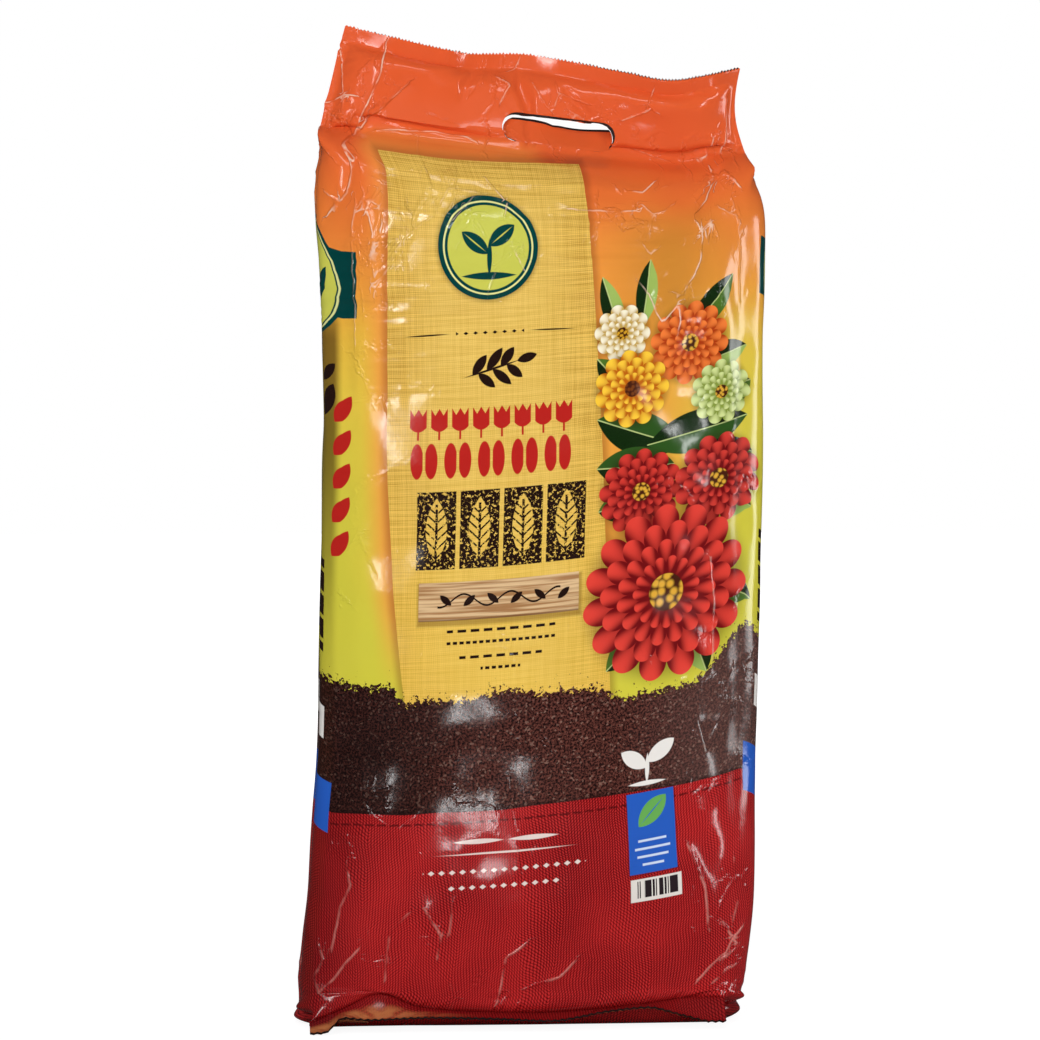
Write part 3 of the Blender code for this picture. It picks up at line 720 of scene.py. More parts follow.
# The print's place on the film
# The film is printed flat, in repeats of one panel and one gusset, before it is folded and welded.
# Two maps go on the mesh: "print" for the inks, in metres, and "OFBake" for baked textures,
# which gives the front panel more room than the rest.
REPEAT = PANEL_WIDTH + 2.0 * GUSSET_HALF
FILM_LOW, FILM_HIGH = -0.016, 0.672
BAKE_SHARES = np.array([
    (-0.225, 0.0), (-0.145, 0.075), (0.145, 0.605), (0.225, 0.680), (0.515, 0.980),
]).T


def print_lift(u, t):
    """How far the print lies above its level: it rises to the right with the square of the way.

    The rise is a tenth up to the middle of the bag and half that at the fold. It goes back to
    nothing across a gusset, so that the next panel starts level again.
    """
    rise = 0.10 - 0.05 * np.clip((t - 0.35) / 0.24, 0.0, 1.0)
    on_panel = (u + 0.150) ** 2 / 0.300
    end = 0.295**2 / 0.300
    share = np.where(u > 0.145, 1.0 - 0.5 * (u - 0.145) / GUSSET_HALF, 0.5 * (-0.145 - u) / GUSSET_HALF)
    return rise * np.where(np.abs(u) <= 0.145, on_panel, end * share)


mesh = bpy.data.meshes.new("printed_film_bag")
mesh.from_pydata(vertices.tolist(), [], printed + inside)
mesh.validate()
loop_vertex = np.empty(len(mesh.loops), np.int32)
mesh.loops.foreach_get("vertex_index", loop_vertex)
loop_total = np.empty(len(mesh.polygons), np.int32)
mesh.polygons.foreach_get("loop_total", loop_total)
face_start = np.concatenate([[0], np.cumsum(loop_total)[:-1]])
face_of_loop = np.repeat(np.arange(len(loop_total)), loop_total)
around = film_places[loop_vertex]
turn = COLUMNS * CELL
# A cell's corners go on from its first one, also where the tube's columns start again
first_u = around[face_start, 0][face_of_loop]
around[:, 0] += turn * np.round((first_u - around[:, 0]) / turn)
middle_u = (np.add.reduceat(around[:, 0], face_start) / loop_total)[face_of_loop]
is_inside = face_of_loop >= len(printed)
panel_u = around[:, 0] - REPEAT * np.floor(middle_u / REPEAT + 0.5)
print_t = around[:, 1] - print_lift(panel_u, around[:, 1])
bake_u = around[:, 0] - turn * np.floor((middle_u - BAKE_SHARES[0, 0]) / turn)
bake = np.stack([np.interp(bake_u, *BAKE_SHARES), (around[:, 1] - FILM_LOW) / (FILM_HIGH - FILM_LOW)], axis=1)
# The black inside has a narrow strip of its own at the right
bake[is_inside] = (0.985, 0.0) + (0.01, 1.0) * bake[is_inside]
for name, values in (("print", np.stack([panel_u, print_t], axis=1)), ("OFBake", bake)):
    mesh.uv_layers.new(name=name).data.foreach_set("uv", values.astype(np.float32).ravel())
crumple_values = crumpled(film_places[:, 0], film_places[:, 1]).astype(np.float32)
mesh.attributes.new("crumple", "FLOAT", "POINT").data.foreach_set("value", crumple_values)
# Distances from a crease and heights of creases go into the material in millimetres
down_the_fin = np.clip(1.0 - np.arange(ROWS + 1)[:, None] / FIN_ROWS, 0.0, 1.0) + 0.0 * creased
for name, values in (("beside_crease", 1000.0 * beside_crease), ("crease_strength", 1000.0 * crease_strength),
                     ("on_fin", down_the_fin)):
    spread = np.zeros(len(vertices), np.float32)
    spread[:values.size] = values.ravel()
    mesh.attributes.new(name, "FLOAT", "POINT").data.foreach_set("value", spread)
mesh.polygons.foreach_set("material_index", (np.arange(len(loop_total)) >= len(printed)).astype(np.int32))
mesh.shade_smooth()
mesh.set_sharp_from_angle(angle=np.radians(65.0))
bag = bpy.data.objects.new("printed_film_bag", mesh)
bpy.context.scene.collection.objects.link(bag)
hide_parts("compost_bag")
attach(bag, "root")

# The print's ground
# Inks on the outside of the film, laid out in metres round a panel and up it, and repeated on the
# back: orange that turns yellow further down.


class Ink:
    """A number of the print's nodes: what a socket gives, times a scale, plus an offset.

    Arithmetic with plain numbers is worked out in the scale and the offset. Arithmetic between two
    of them adds a Math node, and node() adds any other kind.
    """

    def __init__(self, tree, bare, scale=1.0, offset=0.0):
        self.tree, self.bare, self.scale, self.offset = tree, bare, scale, offset

    @property
    def socket(self):
        """The socket that gives the whole number. It takes one more node if there is a scale or an offset."""
        if self.scale != 1.0 or self.offset != 0.0:
            inputs = {0: Ink(self.tree, self.bare), 1: self.scale, 2: self.offset}
            whole = self.node("ShaderNodeMath", {"operation": "MULTIPLY_ADD"}, inputs)
            self.bare, self.scale, self.offset = whole.bare, 1.0, 0.0
        return self.bare

    def node(self, kind, settings, inputs, output=0):
        """Adds a node: its settings first, then its inputs, set or joined. Gives one of its outputs."""
        inputs = {name: value.socket if isinstance(value, Ink) else value for name, value in inputs.items()}
        made = self.tree.nodes.new(kind)
        stops = settings.pop("stops", ())
        for name, value in settings.items():
            setattr(made, name, value)
        for number, (position, colour) in enumerate(stops):
            if number > 1:
                made.color_ramp.elements.new(position)
            made.color_ramp.elements[number].position = position
            made.color_ramp.elements[number].color = colour
        for name, value in inputs.items():
            if isinstance(value, bpy.types.NodeSocket):
                self.tree.links.new(made.inputs[name], value)
            else:
                made.inputs[name].default_value = value
        return Ink(self.tree, made.outputs[output])

    def math(self, operation, *values):
        """A Math node on the whole number, or on the bare one where its scale and offset can wait."""
        start, scale, offset = self, 1.0, 0.0
        if operation in ("MAXIMUM", "MINIMUM") and self.scale > 0.0:
            start, scale, offset = Ink(self.tree, self.bare), self.scale, self.offset
            values = [(values[0] - offset) * (1.0 / scale)]
        elif operation == "ABSOLUTE" and self.offset == 0.0:
            start, scale = Ink(self.tree, self.bare), abs(self.scale)
        inputs = dict(enumerate([start, *values]))
        return self.node("ShaderNodeMath", {"operation": operation}, inputs) * scale + offset

    def vector(self, operation, value, output=0):
        return self.node("ShaderNodeVectorMath", {"operation": operation}, {0: self, 1: value}, output)

    def __add__(self, other):
        if not isinstance(other, Ink):
            return Ink(self.tree, self.bare, self.scale, self.offset + other)
        share = other.scale / self.scale
        first, second = Ink(self.tree, self.bare), Ink(self.tree, other.bare)
        if abs(share) == 1.0:
            total = first.math("ADD" if share > 0.0 else "SUBTRACT", second)
        else:
            total = second.math("MULTIPLY_ADD", share, first)
        return total * self.scale + (self.offset + other.offset)

    def __mul__(self, other):
        if not isinstance(other, Ink):
            return Ink(self.tree, self.bare, self.scale * other, self.offset * other)
        scale = 1.0
        factors = [self, other]
        for number, factor in enumerate(factors):
            if factor.offset == 0.0:
                scale = scale * factor.scale
                factors[number] = Ink(self.tree, factor.bare)
        return factors[0].math("MULTIPLY", factors[1]) * scale

    def __sub__(self, other):
        return self + other * -1.0

    def __rsub__(self, other):
        return self * -1.0 + other

    def __truediv__(self, other):
        return self * (1.0 / other)

    __radd__, __rmul__ = __add__, __mul__


def tint(red, green, blue):
    """An ink from its values on a screen, 0 to 255, as the share of light that it gives back."""
    screen = np.array([red, green, blue]) / 255.0
    light = np.where(screen <= 0.04045, screen / 12.92, ((screen + 0.055) / 1.055) ** 2.4)
    return (*light, 1.0)


def over(below, above, mask):
    """The ink below, with the one above where the mask is 1."""
    return mask.node("ShaderNodeMix", {"data_type": "RGBA"}, {0: mask, 6: below, 7: above}, 2)


def within(distance, edge=0.0005):
    """1 inside an outline, 0 outside it, changing over the edge's width."""
    return between(distance, -0.5 * edge, 0.5 * edge, 1.0, 0.0)


def between(value, low, high, first=0.0, last=1.0):
    """Goes from first to last while the value goes from low to high, with flat ends."""
    low, high = (low - value.offset) / value.scale, (high - value.offset) / value.scale
    bare = Ink(value.tree, value.bare)
    limits = {"Value": bare, "From Min": low, "From Max": high, "To Min": first, "To Max": last}
    settings = {"interpolation_type": "SMOOTHSTEP", "clamp": False}
    return value.node("ShaderNodeMapRange", settings, limits)


def clouds(at, round_scale, up_scale, detail=2.0, roughness=0.5):
    """Soft noise from 0 to 1, with so many swings to the metre round the panel and up it."""
    scale = {"Vector": at, "Scale": (round_scale, up_scale, 1.0)}
    place = at.node("ShaderNodeMapping", {}, scale)
    inputs = {"Vector": place, "Scale": 1.0, "Detail": detail, "Roughness": roughness}
    return at.node("ShaderNodeTexNoise", {"noise_dimensions": "2D"}, inputs)


film_print = bpy.data.materials.new("printed_film")
film_print.use_nodes = True
tree = film_print.node_tree
gloss = tree.nodes["Principled BSDF"]
blank = Ink(tree, None)
at = blank.node("ShaderNodeUVMap", {"uv_map": "print"}, {})
u = at.node("ShaderNodeSeparateXYZ", {}, {"Vector": at}, 0)
t = at.node("ShaderNodeSeparateXYZ", {}, {"Vector": at}, 1)
to_side = u.math("ABSOLUTE")
blotch = clouds(at, 9.0, 9.0, 2.0)
height = t + (blotch - 0.5) * 0.05
GROUND = (
    (0.30, (212, 204, 66)), (0.37, (216, 204, 68)), (0.405, (222, 203, 68)), (0.435, (229, 200, 70)),
    (0.467, (234, 186, 66)), (0.495, (238, 158, 60)), (0.525, (236, 138, 58)), (0.560, (232, 114, 50)),
    (0.595, (228, 96, 47)), (0.66, (228, 92, 46)),
)
stops = [(level, tint(*ink)) for level, ink in GROUND]
ground = height.node("ShaderNodeValToRGB", {"stops": stops}, {"Fac": height})
glow = between(to_side, 0.060, 0.150, 1.0, 0.0) * between(t, 0.27, 0.33) * between(t, 0.50, 0.56, 0.85, 0.0)
ground = over(ground, tint(238, 152, 62), glow)
# Painted shade: a darker patch on the right of the panel, below the shoulder
painted_shade_patch = between((u - 0.085).math("ABSOLUTE"), 0.0, 0.055, 0.50, 0.0) * between(t, 0.43, 0.49)
ground = over(ground, tint(172, 116, 34), painted_shade_patch * between(t, 0.53, 0.565, 1.0, 0.0))

# The printed cloth panel
# A strip of golden linen, in photo-like print: threads about a millimetre apart that thicken here
# and there, darker towards its sides.
PANEL_LEFT, PANEL_BOW, PANEL_TOP = -0.1135, 0.36, 0.5877
PANEL_RIGHT_TOP, PANEL_RIGHT_SLANT = 0.0270, 0.0560


def weave(u, t, pitch):
    """A plain weave, from 0 in its holes to 1 on its threads.

    A cell shows the thread round the panel or the one up it by turns. Its height is one minus the
    square of the place across the thread, times the same, weaker, along it.
    """
    across, up = u / pitch, t / pitch
    column, row = across.math("FLOOR"), up.math("FLOOR")
    off_u = (across - column - 0.5).math("ABSOLUTE")
    off_t = (up - row - 0.5).math("ABSOLUTE")
    turn = (column + row).math("PINGPONG", 1.0)
    narrow = off_u + (off_t - off_u) * turn
    long = off_u + off_t - narrow
    return (1.0 - narrow * narrow * 3.6) * (1.0 - long * long * 2.0)


panel_right = t.math("MULTIPLY_ADD", -PANEL_RIGHT_SLANT, PANEL_RIGHT_TOP + PANEL_RIGHT_SLANT * PANEL_TOP)
panel_left = ((t - 0.44) * (t - 0.44)).math("MULTIPLY_ADD", PANEL_BOW, PANEL_LEFT)
off_panel = (panel_left - u).math("MAXIMUM", u - panel_right).math("MAXIMUM", t - PANEL_TOP)
wave = clouds(at, 30.0, 30.0, 2.0)
linen = weave(u + wave * 0.004, t + wave * 0.003, 0.00125)
slubs = clouds(at, 22.0, 700.0)
warp_slubs = clouds(at, 520.0, 14.0)
to_panel_side = between(off_panel, -0.045, 0.0)
threads = between(linen * 0.35 + slubs * 0.55 + warp_slubs * 0.30, 0.20, 1.00)
cloth = over(tint(176, 128, 38), tint(246, 204, 100), threads)
cloth_centre = over(tint(214, 170, 70), tint(242, 206, 110), threads)
cloth = over(cloth_centre, cloth, to_panel_side * 0.85 + 0.15)
cloth = over(cloth, tint(242, 200, 70), between(t, 0.22, 0.44, 0.35, 0.0))
shadow = between(off_panel, 0.0, 0.007, 0.45, 0.0)
warm = between(off_panel, 0.0, 0.020, 0.8, 0.0) * within(u, 0.02) * between(t, 0.22, 0.30)
ground = over(ground, tint(242, 150, 68), warm)
colour = over(over(ground, tint(120, 50, 20), shadow), cloth, within(off_panel))

# The medallion
# A round dark-green badge with a yellow-green field and a young plant on it, over a divider, a
# leafy sprig and the rows of plain ornaments that fill the cloth panel.
DARK_GREEN, FIELD_GREEN, PALE_LINE = tint(0, 62, 60), tint(203, 203, 84), tint(232, 230, 150)
DARK_INK, RED_INK = tint(34, 17, 12), tint(186, 34, 28)


def disc(at, place, radius):
    """Distance outside a circle."""
    return at.vector("DISTANCE", (*place, 0.0), 1) - radius


def box(u, t, place, width, height):
    """Distance outside an upright rectangle, by its nearest side."""
    beside = (u - place[0]).math("ABSOLUTE") - 0.5 * width
    above = (t - place[1]).math("ABSOLUTE") - 0.5 * height
    return beside.math("MAXIMUM", above)


def leaf(at, base, tip, width):
    """Distance outside a pointed leaf: what two equal circles through its base and tip share."""
    base, tip = np.array(base), np.array(tip)
    length = np.hypot(*(tip - base))
    radius = (0.25 * length**2 + 0.25 * width**2) / width
    aside = np.array([tip[1] - base[1], base[0] - tip[0]]) / length * (radius - 0.5 * width)
    middle = 0.5 * (base + tip)
    return disc(at, middle + aside, radius).math("MAXIMUM", disc(at, middle - aside, radius))


def any_of(distances):
    """Distance outside several outlines: the least of theirs."""
    nearest = distances[0]
    for distance in distances[1:]:
        nearest = nearest.math("MINIMUM", distance)
    return nearest


badge = np.array([-0.0415, 0.5320])
from_badge = disc(at, badge, 0.0)
colour = over(colour, tint(70, 60, 20), between(from_badge, 0.0330, 0.0385, 0.5, 0.0))
colour = over(colour, DARK_GREEN, within(from_badge - 0.0345))
colour = over(colour, PALE_LINE, within((from_badge - 0.0306).math("ABSOLUTE") - 0.0006))
colour = over(colour, FIELD_GREEN, within(from_badge - 0.0280))
sprout = any_of([
    leaf(at, badge + (0.0, -0.0190), badge + (0.0010, 0.0060), 0.0034),
    leaf(at, badge + (0.0004, 0.0010), badge + (0.0185, 0.0150), 0.0110),
    leaf(at, badge + (0.0002, -0.0040), badge + (-0.0180, 0.0100), 0.0105),
    leaf(at, badge + (-0.0190, -0.0185), badge + (0.0190, -0.0185), 0.0050),
])
colour = over(colour, DARK_GREEN, within(sprout))
veins = any_of([
    leaf(at, badge + (0.0030, 0.0030), badge + (0.0165, 0.0135), 0.0009),
    leaf(at, badge + (-0.0025, -0.0022), badge + (-0.0160, 0.0085), 0.0009),
])
colour = over(colour, FIELD_GREEN, within(veins))
# The divider: two thin tapering lines and a row of small seeds between them
seed_u = (u + 0.0415).math("ABSOLUTE").math("WRAP", 0.0, 0.0068) - 0.0034
seeds = (seed_u * 0.8).math("ABSOLUTE") + ((t - 0.4755) * 1.2).math("ABSOLUTE") - 0.0014
seeds = seeds.math("MAXIMUM", (u + 0.0415).math("ABSOLUTE") - 0.0240)
divider = any_of([
    leaf(at, (-0.1010, 0.4745), (-0.0700, 0.4755), 0.0011),
    leaf(at, (-0.0130, 0.4755), (0.0180, 0.4745), 0.0011),
    seeds,
])
# The sprig: a stem with three pairs of leaves
sprig = [leaf(at, (-0.0600, 0.4460), (-0.0200, 0.4560), 0.0016)]
for share, length in ((0.15, 0.016), (0.40, 0.018), (0.65, 0.015)):
    base = np.array([-0.0600, 0.4460]) + share * np.array([0.0400, 0.0100])
    sprig.append(leaf(at, base, base + length * np.array([0.62, 0.82]), 0.0068))
    lower_base = base + (0.004, 0.001)
    sprig.append(leaf(at, lower_base, lower_base + length * np.array([0.75, -0.62]), 0.0062))
sprig.append(leaf(at, (-0.0225, 0.4553), (-0.0085, 0.4590), 0.0062))
colour = over(colour, DARK_INK, within(any_of([divider] + sprig)))

# Two rows of red ornaments: small tulip heads, then large leaf pairs
red_u, red_width = u + 0.0405, 0.1170
row_one = (red_u + 0.00731).math("WRAP", -0.00731, 0.00731)
tulip = (row_one * row_one * 95.0 + 0.4105 - t).math("MAXIMUM", row_one.math("ABSOLUTE") - 0.0058)
cup_edge = 0.4262 - row_one.math("ABSOLUTE").math("PINGPONG", 0.0029) * 1.6
tulip = tulip.math("MAXIMUM", t - cup_edge)
stem = (row_one.math("ABSOLUTE") - 0.0007).math("MAXIMUM", (t - 0.4085).math("ABSOLUTE") - 0.0035)
row_two = red_u.math("WRAP", -0.0117, 0.0117)
heart_t = t - 0.3905
petal = (row_two.math("ABSOLUTE") - 0.0049) * (row_two.math("ABSOLUTE") - 0.0049) * 1.9
petal = (petal + heart_t * heart_t * 0.26).math("SQRT") - 0.0062
bloom_gap = 0.0009 - row_two.math("ABSOLUTE")
red_rows = any_of([tulip, stem, petal.math("MAXIMUM", bloom_gap)])
red_rows = red_rows.math("MAXIMUM", red_u.math("ABSOLUTE") - 0.5 * red_width)
colour = over(colour, RED_INK, within(red_rows))

# Four dark block-printed tiles with a leaf cut out of each, worn like an old wood block
tile_u = (u + 0.0325 + 0.0152).math("WRAP", -0.0152, 0.0152)
tile_at = u.node("ShaderNodeCombineXYZ", {}, {"X": tile_u, "Y": t})
tiles = (tile_u.math("ABSOLUTE") - 0.0137).math("MAXIMUM", (t - 0.3430).math("ABSOLUTE") - 0.0265)
tiles = tiles.math("MAXIMUM", (u + 0.0325).math("ABSOLUTE") - 0.0605)
cut_leaf = leaf(tile_at, (0.0, 0.3215), (0.0, 0.3650), 0.0150)
mid_rib = (tile_u.math("ABSOLUTE") - 0.0009).math("MAXIMUM", t - 0.3610)
side_rib = (t + tile_u.math("ABSOLUTE") * -0.9).math("PINGPONG", 0.0030) - 0.0008
side_rib = side_rib.math("MAXIMUM", t - 0.3590)
tiles = tiles.math("MAXIMUM", -1.0 * cut_leaf.math("MAXIMUM", -1.0 * mid_rib.math("MINIMUM", side_rib)))
unworn = between(clouds(at, 420.0, 420.0, 3.0, 0.7), 0.38, 0.44)
colour = over(colour, DARK_INK, within(tiles) * unworn)

# The printed board: a bare wooden plank with a darker lower edge, and a vine painted along it
board = box(u, t, (-0.0330, 0.2946), 0.1120, 0.0262)
board_shade = between(box(u, t, (-0.0325, 0.2925), 0.1120, 0.0262), 0.0, 0.0030, 0.5, 0.0)
colour = over(colour, tint(90, 50, 12), board_shade)
grain = clouds(at, 16.0, 500.0)
wood = over(tint(168, 122, 78), tint(224, 190, 144), between(grain, 0.32, 0.66))
wood = over(wood, tint(96, 58, 34), between(t, 0.2815, 0.2835, 0.85, 0.0))
colour = over(colour, wood, within(board))
vine_t = 0.2950 + ((u + 0.0330) * 190.0).math("SINE") * 0.0042
vine = [((t - vine_t).math("ABSOLUTE") - 0.0007).math("MAXIMUM", (u + 0.0330).math("ABSOLUTE") - 0.0430)]
for number in range(6):
    turn_u = -0.0330 + (number - 2.5) * np.pi / 190.0
    swing = 1.0 if number % 2 else -1.0
    base = np.array([turn_u, 0.2950 - 0.0040 * swing])
    vine.append(leaf(at, base, base + (0.0080, 0.0072 * swing), 0.0046))
colour = over(colour, DARK_INK, within(any_of(vine)))

# Thin rules of dots and dashes under the board
rules = []
for level, half_width, dash in (
    (0.2740, 0.0380, 0.0092), (0.2660, 0.0380, 0.0046), (0.2560, 0.0290, 0.0092), (0.2480, 0.0140, 0.0046),
):
    off_dash = (u + 0.0310).math("WRAP", -0.5 * dash, 0.5 * dash).math("ABSOLUTE") - 0.33 * dash
    rule = off_dash.math("MAXIMUM", (t - level).math("ABSOLUTE") - 0.0010)
    rules.append(rule.math("MAXIMUM", (u + 0.0310).math("ABSOLUTE") - half_width))
colour = over(colour, DARK_INK, within(any_of(rules)))

# The printed soil and sacking
# Dark crumbly earth across the foot of the picture, and under it red woven sacking with a hem.
SACKING_TOP = 0.1508
humps = clouds(at, 30.0, 30.0) - 0.5
soil_top = between(u, -0.108, -0.098, 0.2385, 0.2270) + between(u, 0.035, 0.060, 0.0, -0.008)
soil_top = soil_top + between(u, 0.105, 0.145, 0.0, 0.030) - between(u, 0.150, 0.185, 0.0, 0.011)
soil_top = soil_top + between((u + 0.024).math("ABSOLUTE"), 0.0, 0.028, 0.006, 0.0) + humps * 0.008
crumbs = clouds(at, 300.0, 300.0, 3.0, 0.65) - 0.5
over_soil = t - soil_top
soil_edge = over_soil + crumbs * (0.020 + between(over_soil, 0.0, 0.012) * 0.022)
grains = clouds(at, 620.0, 620.0, 2.0, 0.75)
flecks = at.node("ShaderNodeTexVoronoi", {"voronoi_dimensions": "2D"}, {"Vector": at, "Scale": 760.0}, 1)
flecks = flecks.node("ShaderNodeSeparateColor", {}, {"Color": flecks}, 0)
soil = over(tint(30, 10, 9), tint(120, 68, 58), between(grains, 0.36, 0.70))
soil = over(soil, tint(176, 136, 120), between(flecks, 0.90, 0.96) * 0.5)
# Painted shade and light: the soil darker towards the left, with random darker patches, and paler towards the
# right
soil = over(soil, tint(18, 6, 6), between(u, -0.125, -0.010, 0.62, 0.10) + clouds(at, 24.0, 24.0, 2.0) * 0.3)
soil = over(soil, tint(120, 96, 90), between(u, 0.050, 0.130, 0.0, 0.22))
colour = over(colour, soil, within(soil_edge, 0.0006))

sack_wave = clouds(at, 16.0, 16.0)
sack_u, sack_t = u + sack_wave * 0.009, t + (sack_wave + clouds(at, 60.0, 60.0)) * 0.004
chevron = (sack_u + 0.012).math("PINGPONG", 0.034)
sack = weave(sack_u + sack_t * 0.12, sack_t + chevron * 0.85, 0.00195)
sack_tone = clouds(at, 14.0, 14.0)
red_dark, red_light = tint(88, 2, 8), tint(202, 42, 42)
sacking = over(red_dark, red_light, between(sack * 0.8 + sack_tone * 0.4, 0.32, 1.02))
# Painted shade: the sacking darker towards the left
sacking = over(sacking, tint(70, 0, 6), between(u, -0.150, -0.100, 0.45, 0.0))
hem = (t - SACKING_TOP + 0.0075 + (clouds(at, 160.0, 160.0) - 0.5) * 0.002).math("ABSOLUTE")
stitch = u.math("WRAP", -0.0042, 0.0042).math("ABSOLUTE") - 0.0031
sacking = over(sacking, tint(74, 6, 8), within((hem - 0.0007).math("MAXIMUM", stitch), 0.001) * 0.8)
sack_top = t - SACKING_TOP + (clouds(at, 12.0, 12.0) - 0.5) * 0.004
colour = over(colour, tint(24, 6, 6), between(sack_top, 0.0, 0.004, 0.6, 0.0))
colour = over(colour, sacking, within(sack_top, 0.0008))
# Painted shade and light on the fin: all of it is darkened, and a lit orange-brown patch is painted on its
# lower part at the left, broken up by noise
on_fin = blank.node("ShaderNodeAttribute", {"attribute_name": "on_fin"}, {}, 2)
colour = over(colour, tint(70, 6, 8), between(on_fin, 0.0, 0.15, 0.0, 0.5))
bare = between(on_fin, 0.40, 0.65) * between(u, -0.11, -0.02, 0.9, 0.0)
bare = bare * between(clouds(at, 60.0, 200.0), 0.30, 0.60, 0.3, 1.0)
colour = over(colour, tint(184, 112, 66), bare)

# The flowers
# A loose bunch of garden blooms with leaves, drawn ink on ink: each bloom is four rings of petals,
# dark at the root and light at the tip.


def bloom(colour, at, place, radius, petals, turn, dark, light, heart):
    """Rings of petals, the outer ones first.

    A petal's edge is the ring's radius times a share that swings with the cosine of the turn about
    the middle, and its ink goes from dark to light outwards and towards the petal's own middle.
    """
    offset = at.vector("SUBTRACT", (*place, 0.0))
    away = offset.vector("LENGTH", (0.0, 0.0, 0.0), 1)
    side = offset.node("ShaderNodeSeparateXYZ", {}, {"Vector": offset}, 0)
    high = offset.node("ShaderNodeSeparateXYZ", {}, {"Vector": offset}, 1)
    angle = high.math("ARCTAN2", side)
    colour = over(colour, tint(40, 22, 8), between(away, radius * 0.8, radius * 1.12, 0.55, 0.0))
    for ring, share in enumerate((1.0, 0.80, 0.60, 0.41)):
        swing = (angle * (0.5 * petals) + (turn + 0.5 * np.pi * ring)).math("COSINE").math("ABSOLUTE")
        reach = (swing.math("SQRT") * 0.24 + 0.76) * (radius * share)
        tip = (away / (radius * share)) * (swing * 0.7 + 0.35)
        ink = over(dark, light, between(tip, 0.45, 1.0))
        colour = over(colour, ink, within(away - reach))
    middle = radius * 0.21
    dotted = {"Vector": at, "Scale": 9.0 / radius}
    dots = at.node("ShaderNodeTexVoronoi", {"voronoi_dimensions": "2D"}, dotted)
    return over(colour, over(heart, tint(70, 30, 12), between(dots, 0.2, 0.6)), within(away - middle))


def green_leaf(colour, at, base, tip, width, dark, light):
    """A leaf in two greens, one to each side of its rib."""
    base, tip = np.array(base), np.array(tip)
    run = (tip - base) / np.hypot(*(tip - base))
    side = at.vector("DOT_PRODUCT", (-run[1], run[0], 0.0), 1) - float(base[0] * -run[1] + base[1] * run[0])
    ink = over(dark, light, within(side, 0.0022))
    ink = over(ink, tint(190, 205, 130), within(side.math("ABSOLUTE") - 0.0004))
    return over(colour, ink, within(leaf(at, base, tip, width)))


DEEP_LEAF, DEEP_LIT = tint(18, 42, 12), tint(46, 84, 30)
MID_LEAF, PALE_LEAF = tint(78, 116, 40), tint(158, 186, 92)
for base, tip, width, light in (
    ((0.052, 0.462), (0.038, 0.508), 0.015, PALE_LEAF), ((0.066, 0.470), (0.072, 0.518), 0.015, PALE_LEAF),
    ((0.100, 0.462), (0.134, 0.500), 0.019, MID_LEAF), ((0.106, 0.440), (0.146, 0.448), 0.020, PALE_LEAF),
    ((0.060, 0.422), (0.034, 0.452), 0.018, MID_LEAF), ((0.110, 0.400), (0.148, 0.424), 0.024, MID_LEAF),
    ((0.096, 0.384), (0.034, 0.410), 0.030, DEEP_LIT), ((0.070, 0.388), (0.146, 0.398), 0.030, DEEP_LIT),
    ((0.090, 0.372), (0.034, 0.376), 0.028, DEEP_LIT), ((0.105, 0.372), (0.149, 0.372), 0.026, MID_LEAF),
    ((0.072, 0.350), (0.036, 0.346), 0.022, MID_LEAF), ((0.110, 0.290), (0.149, 0.268), 0.022, MID_LEAF),
    ((0.080, 0.270), (0.044, 0.236), 0.022, MID_LEAF), ((0.100, 0.265), (0.116, 0.224), 0.020, PALE_LEAF),
    ((0.118, 0.340), (0.149, 0.332), 0.020, PALE_LEAF),
):
    colour = green_leaf(colour, at, base, tip, width, DEEP_LEAF, light)
CREAM, GOLD, DARK_GOLD = tint(250, 242, 214), tint(252, 204, 60), tint(190, 96, 14)
BRIGHT_RED, DARK_RED, HEART = tint(226, 66, 54), tint(112, 12, 16), tint(226, 172, 56)
for place, radius, petals, turn, dark, light, heart in (
    ((0.0520, 0.4680), 0.0200, 10, 0.4, tint(196, 160, 80), CREAM, tint(214, 160, 40)),
    ((0.1010, 0.4560), 0.0290, 12, 0.9, tint(176, 58, 14), tint(244, 128, 56), HEART),
    ((0.0590, 0.4290), 0.0270, 11, 0.2, DARK_GOLD, GOLD, tint(120, 60, 20)),
    ((0.1250, 0.4180), 0.0230, 11, 0.7, tint(132, 150, 60), tint(214, 226, 150), HEART),
    ((0.0660, 0.3560), 0.0300, 12, 0.5, DARK_RED, tint(212, 58, 48), HEART),
    ((0.1230, 0.3560), 0.0330, 12, 1.3, DARK_RED, tint(214, 62, 52), HEART),
    ((0.0860, 0.2840), 0.0600, 15, 0.6, DARK_RED, BRIGHT_RED, HEART),
):
    colour = bloom(colour, at, place, radius, petals, turn, dark, light, heart)

# The small prints
# On the soil and the sacking, and all plain: a pale sprout, a blue tag with a leaf on it, a box of
# bars under that, and white rules.
WHITE_INK, TAG_BLUE = tint(236, 232, 226), tint(38, 92, 190)
pale_sprout = any_of([
    leaf(at, (0.0745, 0.1560), (0.0750, 0.1760), 0.0030),
    leaf(at, (0.0748, 0.1700), (0.0935, 0.1830), 0.0110),
    leaf(at, (0.0746, 0.1665), (0.0560, 0.1790), 0.0105),
    leaf(at, (0.0610, 0.1560), (0.0880, 0.1560), 0.0032),
])
colour = over(colour, WHITE_INK, within(pale_sprout))
tag_u = u - (0.1222 - t) * 0.07
tag = box(tag_u, t, (0.0785, 0.1222), 0.0335, 0.0556)
colour = over(colour, tint(60, 2, 4), between(tag, 0.0, 0.0014, 0.6, 0.0))
colour = over(colour, TAG_BLUE, within(tag))
colour = over(colour, tint(104, 172, 84), within(leaf(at, (0.0690, 0.1270), (0.0880, 0.1460), 0.0140)))
colour = over(colour, TAG_BLUE, within(leaf(at, (0.0710, 0.1290), (0.0860, 0.1440), 0.0008)))
